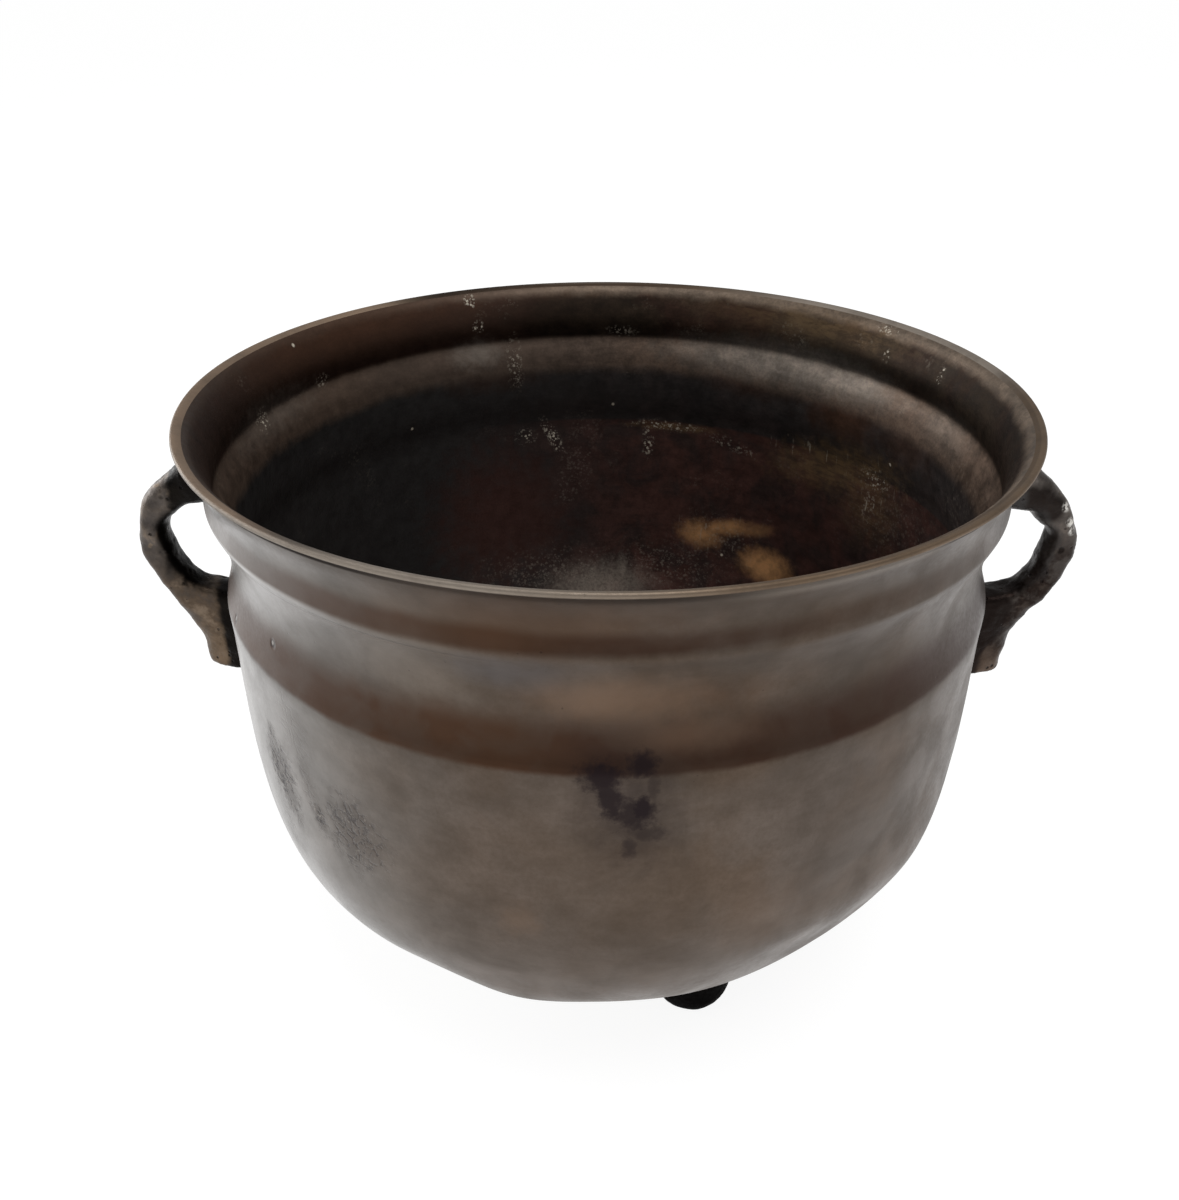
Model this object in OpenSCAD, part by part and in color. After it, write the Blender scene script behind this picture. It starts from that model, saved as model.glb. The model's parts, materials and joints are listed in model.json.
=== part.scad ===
/* [Bowl] */
// Outer diameter of the bowl at the lip
rim_d = 240; // [220:1:280]
// Outer height of the bowl, from its lowest point to the lip
bowl_h = 171.5; // [150:0.5:200]
// Wall thickness of the turned bowl
wall = 2.4; // [1.8:0.1:4]
// Thickness of the lip's edge
lip_t = 1.5; // [1:0.1:2.5]
// Height of the flared lip
lip_h = 3.4; // [2.5:0.1:6]
// How far the lip stands out from the top of the neck
lip_out = 2.1; // [1:0.1:4]
// Depth below the lip of the neck's narrowest point
neck_depth = 13.5; // [10:0.5:14.5]
// How far the neck is drawn in from the ridge
neck_in = 0.7; // [0:0.1:1.5]
// Depth below the lip of the ridge between the two coves
ridge_depth = 19.5; // [15:0.5:26]
// How far the ridge lies in from the lip's edge
ridge_in = 5.4; // [3.5:0.1:9]
// Depth below the lip of the lower cove's waist
waist_depth = 36.5; // [30:0.5:44]
// How far the waist is drawn in from the ridge
waist_in = 4.4; // [2:0.1:8]
// Depth below the lip of the shoulder edge
shoulder_depth = 51.5; // [46:0.5:62]
// How far the shoulder edge stands out from the waist
shoulder_out = 3.2; // [1.5:0.1:6]
// How far the body's wall lies in from the shoulder edge
body_in = 0.5; // [0:0.1:1.5]
// How late the body's wall turns in towards the bottom
belly_power = 4.8; // [3:0.1:7]
// How round the bottom is
bottom_power = 2.12; // [1.6:0.02:3]

/* [Handles] */
// Depth below the lip of the top of each handle's arm at the wall
arm_depth = 20; // [16:0.5:24]
// Height of the arm where it meets the wall
arm_h = 16.5; // [12:0.5:20]
// How far each ear stands out from the shoulder edge
ear_out = 30.4; // [24:0.2:40]
// Depth below the lip of the ear's outermost point
ear_depth = 50; // [46:0.5:54]
// Thickness of the bar at the ear
bar_t = 7.8; // [6:0.2:11]
// Width of the bar
bar_w = 10; // [8:0.5:14]
// Depth below the lip of the finger loop's lower end
loop_depth = 66.5; // [62:0.5:70]
// Depth below the lip of the leg's square end
leg_depth = 93.5; // [88:0.5:102]
// How far the leg's end stands out from the wall
leg_out = 16; // [11:0.2:20]
// Width of the leg where it lies on the wall
leg_w = 16; // [12:0.5:24]

/* [Feet] */
// Height of the bowl's lowest point above the surface the pot stands on
clearance = 13.5; // [8:0.5:24]
// Distance of each foot's middle from the pot's axis
foot_r = 63; // [54:0.5:70]
// Diameter of a foot just above its rounded end
foot_d = 25; // [18:0.5:27]
// Diameter of a foot where it meets the bowl
foot_top_d = 29; // [27.5:0.5:32]
// Diameter of the flat worn on a foot's sole
sole_d = 11; // [7:0.5:15]
// Height of a foot's rounded end
foot_round = 9; // [6:0.5:10]
// How far the tripod is turned from the line through the handles
foot_turn = -3; // [-15:1:15]

/* [Joints] */
// Thickness of the braze between a casting and the wall
braze_t = 0.4; // [0.3:0.05:0.8]
// Leg of the braze fillet round each seat
fillet = 1.8; // [1.2:0.1:3]

/* [Hidden] */

// Total height, from the soles to the lip
total_h = bowl_h + clearance;
rim_r = rim_d / 2;
ridge_r = rim_r - ridge_in;
waist_r = ridge_r - waist_in;
shoulder_r = waist_r + shoulder_out;
body_r = shoulder_r - body_in;
neck_r = rim_r - lip_out;
narrow_r = ridge_r - neck_in;
body_h = bowl_h - shoulder_depth;
// How fast the neck flares out towards the lip
flare_power = 1.6;
// Depth over which the shoulder edge runs out into the body's wall
shoulder_run = 7;
// Radius of the lip's rounded edge
lip_round = 0.5;

// Angles of the three feet about the pot's axis
front_foot_a = foot_turn - 60;
rear_foot_a = foot_turn + 60;
left_foot_a = foot_turn + 180;

// Steps along each stretch of the profile
cove_steps = 10;
body_steps = 40;
// Depth from which the bowl's underside is followed by the feet
core_top = leg_depth + 20;
$fn = 96;

// Radius of the outer wall at a depth below the lip, from the neck down
function flare_at(t) = narrow_r + (neck_r - narrow_r) * pow((neck_depth - t) / (neck_depth - lip_h), flare_power);
function neck_at(t) = narrow_r + neck_in * pow((t - neck_depth) / (ridge_depth - neck_depth), 2);
function upper_cove_at(t) = waist_r + waist_in * pow((waist_depth - t) / (waist_depth - ridge_depth), 2);
function lower_cove_at(t) = waist_r + shoulder_out * pow((t - waist_depth) / (shoulder_depth - waist_depth), 2);
function edge_at(t) = body_in * pow(max(0, 1 - (t - shoulder_depth) / shoulder_run), 2);
function belly_at(t) = body_r * pow(max(0, 1 - pow((t - shoulder_depth) / body_h, belly_power)), 1 / bottom_power);
function wall_r(t) =
    t <= lip_h ? neck_r :
    t < neck_depth ? flare_at(t) :
    t < ridge_depth ? neck_at(t) :
    t < waist_depth ? upper_cove_at(t) :
    t < shoulder_depth ? lower_cove_at(t) :
    belly_at(t) + edge_at(t);

// Depths at which the outer profile is drawn, closer together towards the bottom
function stretch(from, to) = [for (i = [0:cove_steps - 1]) from + (to - from) * i / cove_steps];
cove_depths = concat(stretch(lip_h, neck_depth), stretch(neck_depth, ridge_depth),
    stretch(ridge_depth, waist_depth), stretch(waist_depth, shoulder_depth));
body_depths = [for (i = [0:body_steps - 1]) shoulder_depth + body_h * sin(90 * i / body_steps)];
depths = concat(cove_depths, body_depths);
outer_wall = [for (t = depths) [wall_r(t), t]];

// Direction across the wall at point i of a profile, pointing into the metal
function along(p, i) = p[min(i + 1, len(p) - 1)] - p[max(i - 1, 0)];
function across(p, i) = let (d = along(p, i)) [-d[1], d[0]] / norm(d);
// The profile moved out by gap along its own normal
function moved(p, gap) = [for (i = [0:len(p) - 1]) p[i] - gap * across(p, i)];
function raised(p) = [for (q = p) [max(q[0], 0), total_h - q[1]]];

inner_wall = moved(outer_wall, -wall);
bottom_point = [0, bowl_h];
lip_edge = [[neck_r, lip_h], [rim_r - lip_round, lip_t], [rim_r, lip_t - lip_round],
    [rim_r, lip_round], [rim_r - lip_round, 0], [rim_r - lip_t, 0],
    [neck_r - wall + lip_out / 2, lip_h / 2]];

// The bowl's half section: down the outside, then back up the inside
module bowl_section() {
    lip = raised(lip_edge);
    outside = raised(concat(outer_wall, [bottom_point]));
    inside = raised(concat(inner_wall, [bottom_point - [0, wall]]));
    back = [for (i = [0:len(inside) - 1]) inside[len(inside) - 1 - i]];
    polygon(concat([for (i = [1:len(lip) - 2]) lip[len(lip) - 1 - i]], outside, back, [lip[len(lip) - 1]]));
}

// Everything inside the outer wall, grown by gap, from the depth top down to the bottom
module pot_core(gap, top, bottom = bowl_h) {
    shell = raised(moved([for (q = outer_wall) if (q[1] >= top && q[1] <= bottom) q], gap));
    high = shell[0][1];
    foot_point = bottom < bowl_h ? [0, shell[len(shell) - 1][1]] : [0, clearance - gap];
    rotate_extrude($fn = 480) polygon(concat([[0, high]], shell, [foot_point]));
}

module bowl() {
    color("#5b4a3c") rotate_extrude() bowl_section();
}

// Distance from the middle plane at which a casting's face lies on the wall
function seat_x(t, y, gap) = sqrt(pow(wall_r(t) + gap, 2) - y * y);

ear_r = shoulder_r + ear_out;
leg_r = body_r + leg_out;
arm_end = arm_depth + arm_h;
inner_ear_r = ear_r - bar_t;
bar_half = bar_w / 2;
leg_half = leg_w / 2;

// The ear, from the arm down to the leg's end.
// Each row is a cut across it: the outer point, the inner point, half its width
// outside and inside, and how square its inner side is. Points are [radius, depth].
ear = [
    [[wall_r(arm_depth), arm_depth], [wall_r(arm_end), arm_end], bar_half + 1.8, bar_half + 1.8, 0],
    [[ridge_r + 7.5, arm_depth + 0.8], [waist_r + 10, arm_end - 0.3], bar_half + 0.4, bar_half + 0.4, 0],
    [[ear_r - 13.8, arm_depth + 5.5], [inner_ear_r - 7.7, arm_end + 1], bar_half, bar_half, 0],
    [[ear_r - 5.3, ear_depth - 15.5], [inner_ear_r - 1.4, ear_depth - 8], bar_half, bar_half, 0],
    [[ear_r - 0.6, ear_depth - 5], [inner_ear_r, ear_depth - 3.2], bar_half, bar_half, 0],
    [[ear_r, ear_depth + 3], [inner_ear_r - 1.4, ear_depth + 2.3], bar_half, bar_half, 0],
    [[ear_r - 3.5, loop_depth - 3.2], [inner_ear_r - 4.2, loop_depth - 6.5], bar_half, bar_half, 0.1],
    [[ear_r - 8.8, loop_depth + 5], [inner_ear_r - 10.4, loop_depth - 1.4], bar_half + 0.2, bar_half + 0.5, 0.3],
    [[leg_r + 1.8, loop_depth + 13], [wall_r(loop_depth), loop_depth + 0.5], bar_half, leg_half - 1.6, 0.8],
    [[leg_r + 0.3, loop_depth + 18], [wall_r(loop_depth), loop_depth + 10], bar_half - 0.2, leg_half - 1, 1],
    [[leg_r, leg_depth - 4.5], [body_r, leg_depth - 7.5], bar_half, leg_half - 0.3, 1],
    [[leg_r - 0.3, leg_depth], [body_r, leg_depth], bar_half + 0.2, leg_half, 1]];

// A value between rows i and i + 1 of a list, on a smooth curve through the rows
function smooth(a, b, c, d, u) = b + 0.5 * u * ((c - a) + u * ((2 * a - 5 * b + 4 * c - d) + u * (3 * (b - c) + d - a)));
function row(i) = ear[min(max(i, 0), len(ear) - 1)];
function between(i, k, u) = smooth(row(i - 1)[k], row(i)[k], row(i + 1)[k], row(i + 2)[k], u);
function ear_cut(i, u) = [for (k = [0:4]) between(i, k, u)];

sides = 20;
cut_steps = 3;
// Roundness of a cut's outer side, and of an inner side that lies on the wall
round_power = 2.7;
square_power = 9;

// A point of the cut: a is its angle, 0 on the inner side and 180 on the outer side
function spread(v, p) = sign(v) * pow(abs(v), 2 / p);
function cut_point(c, a) = let (
    power = cos(a) > 0 ? round_power + (square_power - round_power) * max(0, c[4]) : round_power,
    u = spread(cos(a), power),
    v = spread(sin(a), power),
    mid = (c[0] + c[1]) / 2,
    p = mid + (c[1] - mid) * u,
    y = v * (c[2] + (c[3] - c[2]) * (u + 1) / 2)) [p[0], y, p[1]];
function on_wall(p, gap) = [seat_x(p[2], p[1], gap), p[1], p[2]];
function clear_of_wall(p, gap) = [max(p[0], seat_x(p[2], p[1], gap)), p[1], p[2]];
function cut_ring(c, gap) = [for (j = [0:sides - 1]) clear_of_wall(cut_point(c, 360 * j / sides), gap)];
function root_ring(gap, share) = let (c = ear_cut(0, 0), mid = (c[0] + c[1]) / 2)
    [for (j = [0:sides - 1]) let (p = cut_point(c, 360 * j / sides))
        on_wall([p[0], p[1] * share, mid[1] + (p[2] - mid[1]) * share], gap)];

ear_rings = concat([root_ring(braze_t, 0.5), root_ring(braze_t, 1)],
    [for (i = [0:len(ear) - 2]) for (k = [(i == 0 ? 1 : 0):cut_steps - 1]) cut_ring(ear_cut(i, k / cut_steps), braze_t)],
    [cut_ring(ear_cut(len(ear) - 2, 1), braze_t)]);

// A closed solid through rings of the same number of points, with a fan at each end
module loft(rings, first, last) {
    n = len(rings[0]);
    m = len(rings);
    points = concat([for (r = rings) for (p = r) [p[0], p[1], total_h - p[2]]],
        [[first[0], first[1], total_h - first[2]], [last[0], last[1], total_h - last[2]]]);
    skin = [for (i = [0:m - 2]) for (j = [0:n - 1]) let (k = (j + 1) % n)
        each [[i * n + j, (i + 1) * n + j, (i + 1) * n + k], [i * n + j, (i + 1) * n + k, i * n + k]]];
    start = [for (j = [0:n - 1]) [n * m, j, (j + 1) % n]];
    end = [for (j = [0:n - 1]) [n * m + 1, (m - 1) * n + (j + 1) % n, (m - 1) * n + j]];
    polyhedron(points, concat(skin, start, end));
}

function middle(ring) = [for (k = [0:2]) ([for (p = ring) 1] * [for (p = ring) p[k]]) / len(ring)];
root_middle = let (c = ear_cut(0, 0), mid = (c[0] + c[1]) / 2) [seat_x(mid[1], 0, braze_t), 0, mid[1]];

module ear_handle() {
    color("#463a30") loft(ear_rings, root_middle, middle(ear_rings[len(ear_rings) - 1]));
}

// A fillet of braze round a seat on the wall, from depth top to bottom.
// half_top and half_bottom are half the seat's width at its two ends.
function seat_ring(top, bottom, half_top, half_bottom, grow, out, power) = [for (j = [0:sides - 1])
    let (
        u = spread(cos(360 * j / sides), power),
        v = spread(sin(360 * j / sides), power),
        t = (top + bottom) / 2 + u * ((bottom - top) / 2 + grow),
        half = half_top + (half_bottom - half_top) * (u + 1) / 2,
        y = v * (half + grow)) [seat_x(t, y, out), y, t]];
module braze_fillet(top, bottom, half_top, half_bottom, power) {
    rings = [for (s = [[1, -1], [1, 0.12], [0.45, 0.4], [0.1, 1]])
        seat_ring(top, bottom, half_top, half_bottom, s[0] * fillet, s[1] * fillet, power)];
    mid = (top + bottom) / 2;
    difference() {
        loft(rings, [seat_x(mid, 0, -fillet), 0, mid], [seat_x(mid, 0, fillet), 0, mid]);
        pot_core(0, ridge_depth - 8, leg_depth + 20);
        ear_handle();
    }
}
module arm_braze() {
    color("#6d5636") braze_fillet(arm_depth, arm_end, bar_half + 1.8, bar_half + 1.8, round_power);
}
module leg_braze() {
    color("#6d5636") braze_fillet(loop_depth + 0.5, leg_depth, leg_half - 1.6, leg_half, square_power);
}

// Depth at which the bowl's underside has radius r
function underside_depth(r) = shoulder_depth + body_h * pow(1 - pow(r / body_r, bottom_power), 1 / belly_power);

// Half section of a foot about its own upright axis: flat sole, rounded end, slight taper
corner_steps = 8;
foot_corner = [for (i = [0:corner_steps]) let (a = 90 * i / corner_steps)
    [(sole_d + (foot_d - sole_d) * sin(a)) / 2, foot_round * (1 - cos(a))]];
module foot_section() {
    top = total_h - underside_depth(foot_r + foot_top_d / 2) + fillet;
    polygon(concat([[0, 0]], foot_corner, [[foot_top_d / 2, top], [0, top]]));
}

module foot() {
    color("#2e2620") difference() {
        translate([foot_r, 0, 0]) rotate_extrude() foot_section();
        pot_core(braze_t, core_top);
    }
}

// The braze between a foot and the underside, with a stepped fillet round the foot
module foot_braze() {
    low = clearance - fillet;
    high = total_h - underside_depth(foot_r + foot_top_d / 2 + fillet) + fillet;
    color("#6d5636") difference() {
        union() {
            intersection() {
                translate([foot_r, 0, low]) cylinder(h = high - low, d = foot_top_d + 2 * fillet);
                pot_core(fillet / 2.5, core_top);
            }
            intersection() {
                translate([foot_r, 0, low]) cylinder(h = high - low, d = foot_top_d + fillet);
                pot_core(fillet, core_top);
            }
        }
        pot_core(0, core_top);
        foot();
    }
}

module left_handle() { rotate([0, 0, 180]) ear_handle(); }
module right_handle() { ear_handle(); }
module left_handle_arm_braze() { rotate([0, 0, 180]) arm_braze(); }
module left_handle_leg_braze() { rotate([0, 0, 180]) leg_braze(); }
module right_handle_arm_braze() { arm_braze(); }
module right_handle_leg_braze() { leg_braze(); }
module front_foot() { rotate([0, 0, front_foot_a]) foot(); }
module rear_foot() { rotate([0, 0, rear_foot_a]) foot(); }
module left_foot() { rotate([0, 0, left_foot_a]) foot(); }
module front_foot_braze() { rotate([0, 0, front_foot_a]) foot_braze(); }
module rear_foot_braze() { rotate([0, 0, rear_foot_a]) foot_braze(); }
module left_foot_braze() { rotate([0, 0, left_foot_a]) foot_braze(); }

bowl();
left_handle();
right_handle();
left_handle_arm_braze();
left_handle_leg_braze();
right_handle_arm_braze();
right_handle_leg_braze();
front_foot();
rear_foot();
left_foot();
front_foot_braze();
rear_foot_braze();
left_foot_braze();
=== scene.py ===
"""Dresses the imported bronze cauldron: a turned bowl, rough cast handles and feet, and their brazes.

The script works in metres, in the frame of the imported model: the floor is the plane z = 0, +Z runs
up the bowl's axis and +X runs through the right handle. Sizes that a maker would quote are held in
millimetres in the classes below and turned into metres where the meshes are made.
"""
import json
import logging
import math
from dataclasses import dataclass, field

import bmesh
import bpy
from mathutils import Matrix, Vector, noise

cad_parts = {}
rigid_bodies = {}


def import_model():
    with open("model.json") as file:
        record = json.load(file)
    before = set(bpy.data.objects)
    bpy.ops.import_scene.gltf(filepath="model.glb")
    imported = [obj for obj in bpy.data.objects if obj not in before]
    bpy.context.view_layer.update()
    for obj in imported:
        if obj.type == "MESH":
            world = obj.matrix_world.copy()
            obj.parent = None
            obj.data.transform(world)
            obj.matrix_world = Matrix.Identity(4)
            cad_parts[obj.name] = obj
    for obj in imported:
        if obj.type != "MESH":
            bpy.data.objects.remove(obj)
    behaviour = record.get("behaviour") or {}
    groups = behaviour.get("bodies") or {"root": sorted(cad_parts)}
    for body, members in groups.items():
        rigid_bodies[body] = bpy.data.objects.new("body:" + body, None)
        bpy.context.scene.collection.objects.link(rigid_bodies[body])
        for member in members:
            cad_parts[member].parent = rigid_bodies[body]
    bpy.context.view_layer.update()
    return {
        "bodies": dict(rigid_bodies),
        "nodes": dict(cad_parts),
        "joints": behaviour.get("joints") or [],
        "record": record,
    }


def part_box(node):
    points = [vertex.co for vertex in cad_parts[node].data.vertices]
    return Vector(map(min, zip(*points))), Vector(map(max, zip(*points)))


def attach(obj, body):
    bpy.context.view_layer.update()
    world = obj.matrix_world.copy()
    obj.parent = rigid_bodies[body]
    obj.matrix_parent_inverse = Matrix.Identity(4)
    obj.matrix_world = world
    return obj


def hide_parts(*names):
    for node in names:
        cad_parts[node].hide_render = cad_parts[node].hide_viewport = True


log = logging.getLogger("cauldron")

MM = 0.001
Colour = tuple[float, float, float]


def srgb(red: int, green: int, blue: int) -> Colour:
    """Turn a colour picked on a screen into the linear values that a shader takes.

    Args:
        red: Red from 0 to 255.
        green: Green from 0 to 255.
        blue: Blue from 0 to 255.

    Returns:
        The three linear values.
    """
    def linear(value: float) -> float:
        """Return the linear value of one channel."""
        return value / 12.92 if value <= 0.04045 else ((value + 0.055) / 1.055) ** 2.4
    return linear(red / 255), linear(green / 255), linear(blue / 255)


class Nodes:
    """Adds shader nodes to one material and joins them."""

    def __init__(self, name: str) -> None:
        """Start a material that holds one Principled shader.

        Args:
            name: The material's name.
        """
        self.material = bpy.data.materials.new(name)
        self.material.use_nodes = True
        self.tree = self.material.node_tree
        self.shader = self.tree.nodes["Principled BSDF"]
        self.place = self.tree.nodes.new("ShaderNodeTexCoord").outputs["Object"]
        parts = self.tree.nodes.new("ShaderNodeSeparateXYZ")
        self.tree.links.new(self.place, parts.inputs[0])
        self.x, self.y, self.z = parts.outputs
        self.known: dict[tuple, bpy.types.NodeSocket] = {}
        self.from_front = self.math("ARCTAN2", self.x, self.math("MULTIPLY", self.y, -1.0))
        self.from_back = self.math("ARCTAN2", self.x, self.y)

    def feed(self, socket: bpy.types.NodeSocket, value: object) -> None:
        """Give an input a constant or link an output to it.

        Args:
            socket: The input.
            value: A number, a colour, or another node's output.
        """
        if isinstance(value, bpy.types.NodeSocket):
            self.tree.links.new(value, socket)
        elif isinstance(value, tuple) and len(value) == 3 and socket.type == "RGBA":
            socket.default_value = (*value, 1.0)
        else:
            socket.default_value = value

    def math(self, operation: str, a: object, b: object = 0.0, c: object = 0.0) -> bpy.types.NodeSocket:
        """Return the result of a Math node.

        Args:
            operation: The node's operation, such as MULTIPLY.
            a: First value or output.
            b: Second value or output.
            c: Third value or output, where the operation takes one.

        Returns:
            The node's output.
        """
        node = self.tree.nodes.new("ShaderNodeMath")
        node.operation = operation
        for socket, value in zip(node.inputs, (a, b, c)):
            self.feed(socket, value)
        return node.outputs[0]

    def span(self, value: object, low: float, high: float, start: float = 0.0,
             end: float = 1.0) -> bpy.types.NodeSocket:
        """Map a range of values smoothly to another range, held at its ends.

        Args:
            value: The value or output to map.
            low: Value that maps to start.
            high: Value that maps to end.
            start: Result at low.
            end: Result at high.

        Returns:
            The mapped value.
        """
        node = self.tree.nodes.new("ShaderNodeMapRange")
        node.interpolation_type = "SMOOTHSTEP"
        self.feed(node.inputs["Value"], value)
        node.inputs["From Min"].default_value = low
        node.inputs["From Max"].default_value = high
        node.inputs["To Min"].default_value = start
        node.inputs["To Max"].default_value = end
        return node.outputs["Result"]

    def stretched(self, x: float, y: float, z: float) -> bpy.types.NodeSocket:
        """Return the object's coordinates multiplied axis by axis."""
        node = self.tree.nodes.new("ShaderNodeVectorMath")
        node.operation = "MULTIPLY"
        self.tree.links.new(self.place, node.inputs[0])
        node.inputs[1].default_value = (x, y, z)
        return node.outputs[0]

    def ring(self) -> bpy.types.NodeSocket:
        """Return the distance from the bowl's axis."""
        node = self.tree.nodes.new("ShaderNodeVectorMath")
        node.operation = "LENGTH"
        self.tree.links.new(self.stretched(1.0, 1.0, 0.0), node.inputs[0])
        return node.outputs["Value"]

    def cloud(self, size_mm: float, detail: float = 4.0, roughness: float = 0.55,
              distortion: float = 0.0, where: object = None) -> bpy.types.NodeSocket:
        """Return a noise whose features are about size_mm across.

        Args:
            size_mm: Size of a feature in millimetres.
            detail: Number of finer octaves.
            roughness: Strength of the finer octaves.
            distortion: How far the pattern is swirled.
            where: Coordinates to read instead of the object's own.

        Returns:
            The noise's value.
        """
        key = (size_mm, detail, roughness, distortion, where)
        if key in self.known:
            return self.known[key]
        node = self.tree.nodes.new("ShaderNodeTexNoise")
        node.inputs["Scale"].default_value = 1.0 / (size_mm * MM)
        node.inputs["Detail"].default_value = detail
        node.inputs["Roughness"].default_value = roughness
        node.inputs["Distortion"].default_value = distortion
        self.tree.links.new(where or self.place, node.inputs["Vector"])
        self.known[key] = node.outputs["Fac"]
        return self.known[key]

    def cells(self, size_mm: float, randomness: float = 1.0) -> tuple[bpy.types.NodeSocket, bpy.types.NodeSocket]:
        """Return the distance to the nearest scattered point, and a random colour for each point."""
        node = self.tree.nodes.new("ShaderNodeTexVoronoi")
        node.inputs["Scale"].default_value = 1.0 / (size_mm * MM)
        node.inputs["Randomness"].default_value = randomness
        self.tree.links.new(self.place, node.inputs["Vector"])
        return node.outputs["Distance"], node.outputs["Color"]

    def crackle(self, size_mm: float, width: float) -> bpy.types.NodeSocket:
        """Return a mask of thin cracks between flakes about size_mm across."""
        wander = self.tree.nodes.new("ShaderNodeTexNoise")
        wander.inputs["Scale"].default_value = 0.5 / (size_mm * MM)
        wander.inputs["Detail"].default_value = 4.0
        self.tree.links.new(self.place, wander.inputs["Vector"])
        pushed = self.tree.nodes.new("ShaderNodeVectorMath")
        pushed.operation = "MULTIPLY_ADD"
        self.tree.links.new(wander.outputs["Color"], pushed.inputs[0])
        pushed.inputs[1].default_value = (size_mm * 2 * MM,) * 3
        self.tree.links.new(self.place, pushed.inputs[2])
        flakes = self.tree.nodes.new("ShaderNodeTexVoronoi")
        flakes.feature = "DISTANCE_TO_EDGE"
        flakes.inputs["Scale"].default_value = 1.0 / (size_mm * MM)
        self.tree.links.new(pushed.outputs[0], flakes.inputs["Vector"])
        return self.span(flakes.outputs["Distance"], 0.0, width, 1.0, 0.0)

    def near(self, centre: tuple[float, float, float], inner: float, outer: float) -> bpy.types.NodeSocket:
        """Return 1 within the inner distance of a point and 0 beyond the outer one, all in millimetres."""
        node = self.tree.nodes.new("ShaderNodeVectorMath")
        node.operation = "DISTANCE"
        self.tree.links.new(self.place, node.inputs[0])
        node.inputs[1].default_value = tuple(value * MM for value in centre)
        return self.span(node.outputs["Value"], inner * MM, outer * MM, 1.0, 0.0)

    def mix(self, factor: object, a: object, b: object, blend: str = "MIX") -> bpy.types.NodeSocket:
        """Return colour a blended with colour b by factor.

        Args:
            factor: Share of b, a number or an output.
            a: First colour or output.
            b: Second colour or output.
            blend: The blend type.

        Returns:
            The blended colour.
        """
        node = self.tree.nodes.new("ShaderNodeMix")
        node.data_type = "RGBA"
        node.blend_type = blend
        self.feed(node.inputs["Factor"], factor)
        self.feed(node.inputs["A"], a)
        self.feed(node.inputs["B"], b)
        return node.outputs["Result"]

    def patch(self, patch: "Patch") -> bpy.types.NodeSocket:
        """Return a mask that is the patch's strength inside it and falls to 0 at its soft, ragged edge.

        Args:
            patch: The patch on the wall.

        Returns:
            The mask.
        """
        angle = self.from_back if patch.on_far_wall else self.from_front
        lean = math.radians(patch.lean)
        turn = math.radians(patch.turn) * patch.radius
        across = (math.cos(lean) / patch.wide, math.sin(lean) / patch.wide)
        along = (-math.sin(lean) / patch.tall, math.cos(lean) / patch.tall)
        steps = []
        for by_turn, by_height in (across, along):
            start = self.math("MULTIPLY_ADD", angle, by_turn * patch.radius, -by_turn * turn - by_height * patch.height)
            steps.append(self.math("MULTIPLY_ADD", self.z, by_height / MM, start))
        square = self.math("MULTIPLY", steps[0], steps[0])
        distance = self.math("SQRT", self.math("MULTIPLY_ADD", steps[1], steps[1], square))
        if patch.ragged:
            wander = self.math("MULTIPLY_ADD", self.cloud(patch.grain, 5.0, 0.62), 4 * patch.ragged, -2 * patch.ragged)
            distance = self.math("ADD", distance, wander)
        return self.span(distance, 1 - patch.edge, 1 + patch.edge, patch.strength, 0.0)

    def patches(self, patches: "tuple[Patch, ...]") -> bpy.types.NodeSocket:
        """Return the strongest of several patches' masks."""
        masks = [self.patch(patch) for patch in patches]
        total = masks[0]
        for mask in masks[1:]:
            total = self.math("MAXIMUM", total, mask)
        return total

    def band(self, depth: bpy.types.NodeSocket, rise: tuple[float, float],
             fall: tuple[float, float]) -> bpy.types.NodeSocket:
        """Return a mask that rises and falls again with depth below the lip, given in millimetres."""
        return self.math("MULTIPLY", self.span(depth, rise[0] * MM, rise[1] * MM),
                         self.span(depth, fall[0] * MM, fall[1] * MM, 1.0, 0.0))

    def relief(self, *layers: tuple[object, float]) -> None:
        """Raise the surface by layers of height.

        Args:
            layers: Pairs of a height output from 0 to 1 and its full height in millimetres.
        """
        total = None
        for height, depth_mm in layers:
            part = self.math("MULTIPLY", height, depth_mm * MM)
            total = part if total is None else self.math("ADD", total, part)
        bump = self.tree.nodes.new("ShaderNodeBump")
        bump.inputs["Distance"].default_value = 1.0
        self.tree.links.new(total, bump.inputs["Height"])
        self.tree.links.new(bump.outputs["Normal"], self.shader.inputs["Normal"])

    def finish(self, colour: object, roughness: object, metallic: object = 1.0) -> bpy.types.Material:
        """Join the colour, roughness and metallic to the shader and return the material."""
        self.feed(self.shader.inputs["Base Color"], colour)
        self.feed(self.shader.inputs["Roughness"], roughness)
        self.feed(self.shader.inputs["Metallic"], metallic)
        return self.material


@dataclass(frozen=True)
class Patch:
    """A patch of colour on the bowl's wall. Lengths are in millimetres, angles in degrees.

    turn runs to the right from the front, or, on the far wall inside, to the right from the back.
    edge is the share of its size over which the patch fades, and ragged moves that edge by noise.
    """

    turn: float
    height: float
    wide: float
    tall: float
    strength: float = 1.0
    lean: float = 0.0
    edge: float = 0.4
    ragged: float = 0.4
    grain: float = 5.0
    on_far_wall: bool = False
    radius: float = 113.0


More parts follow.
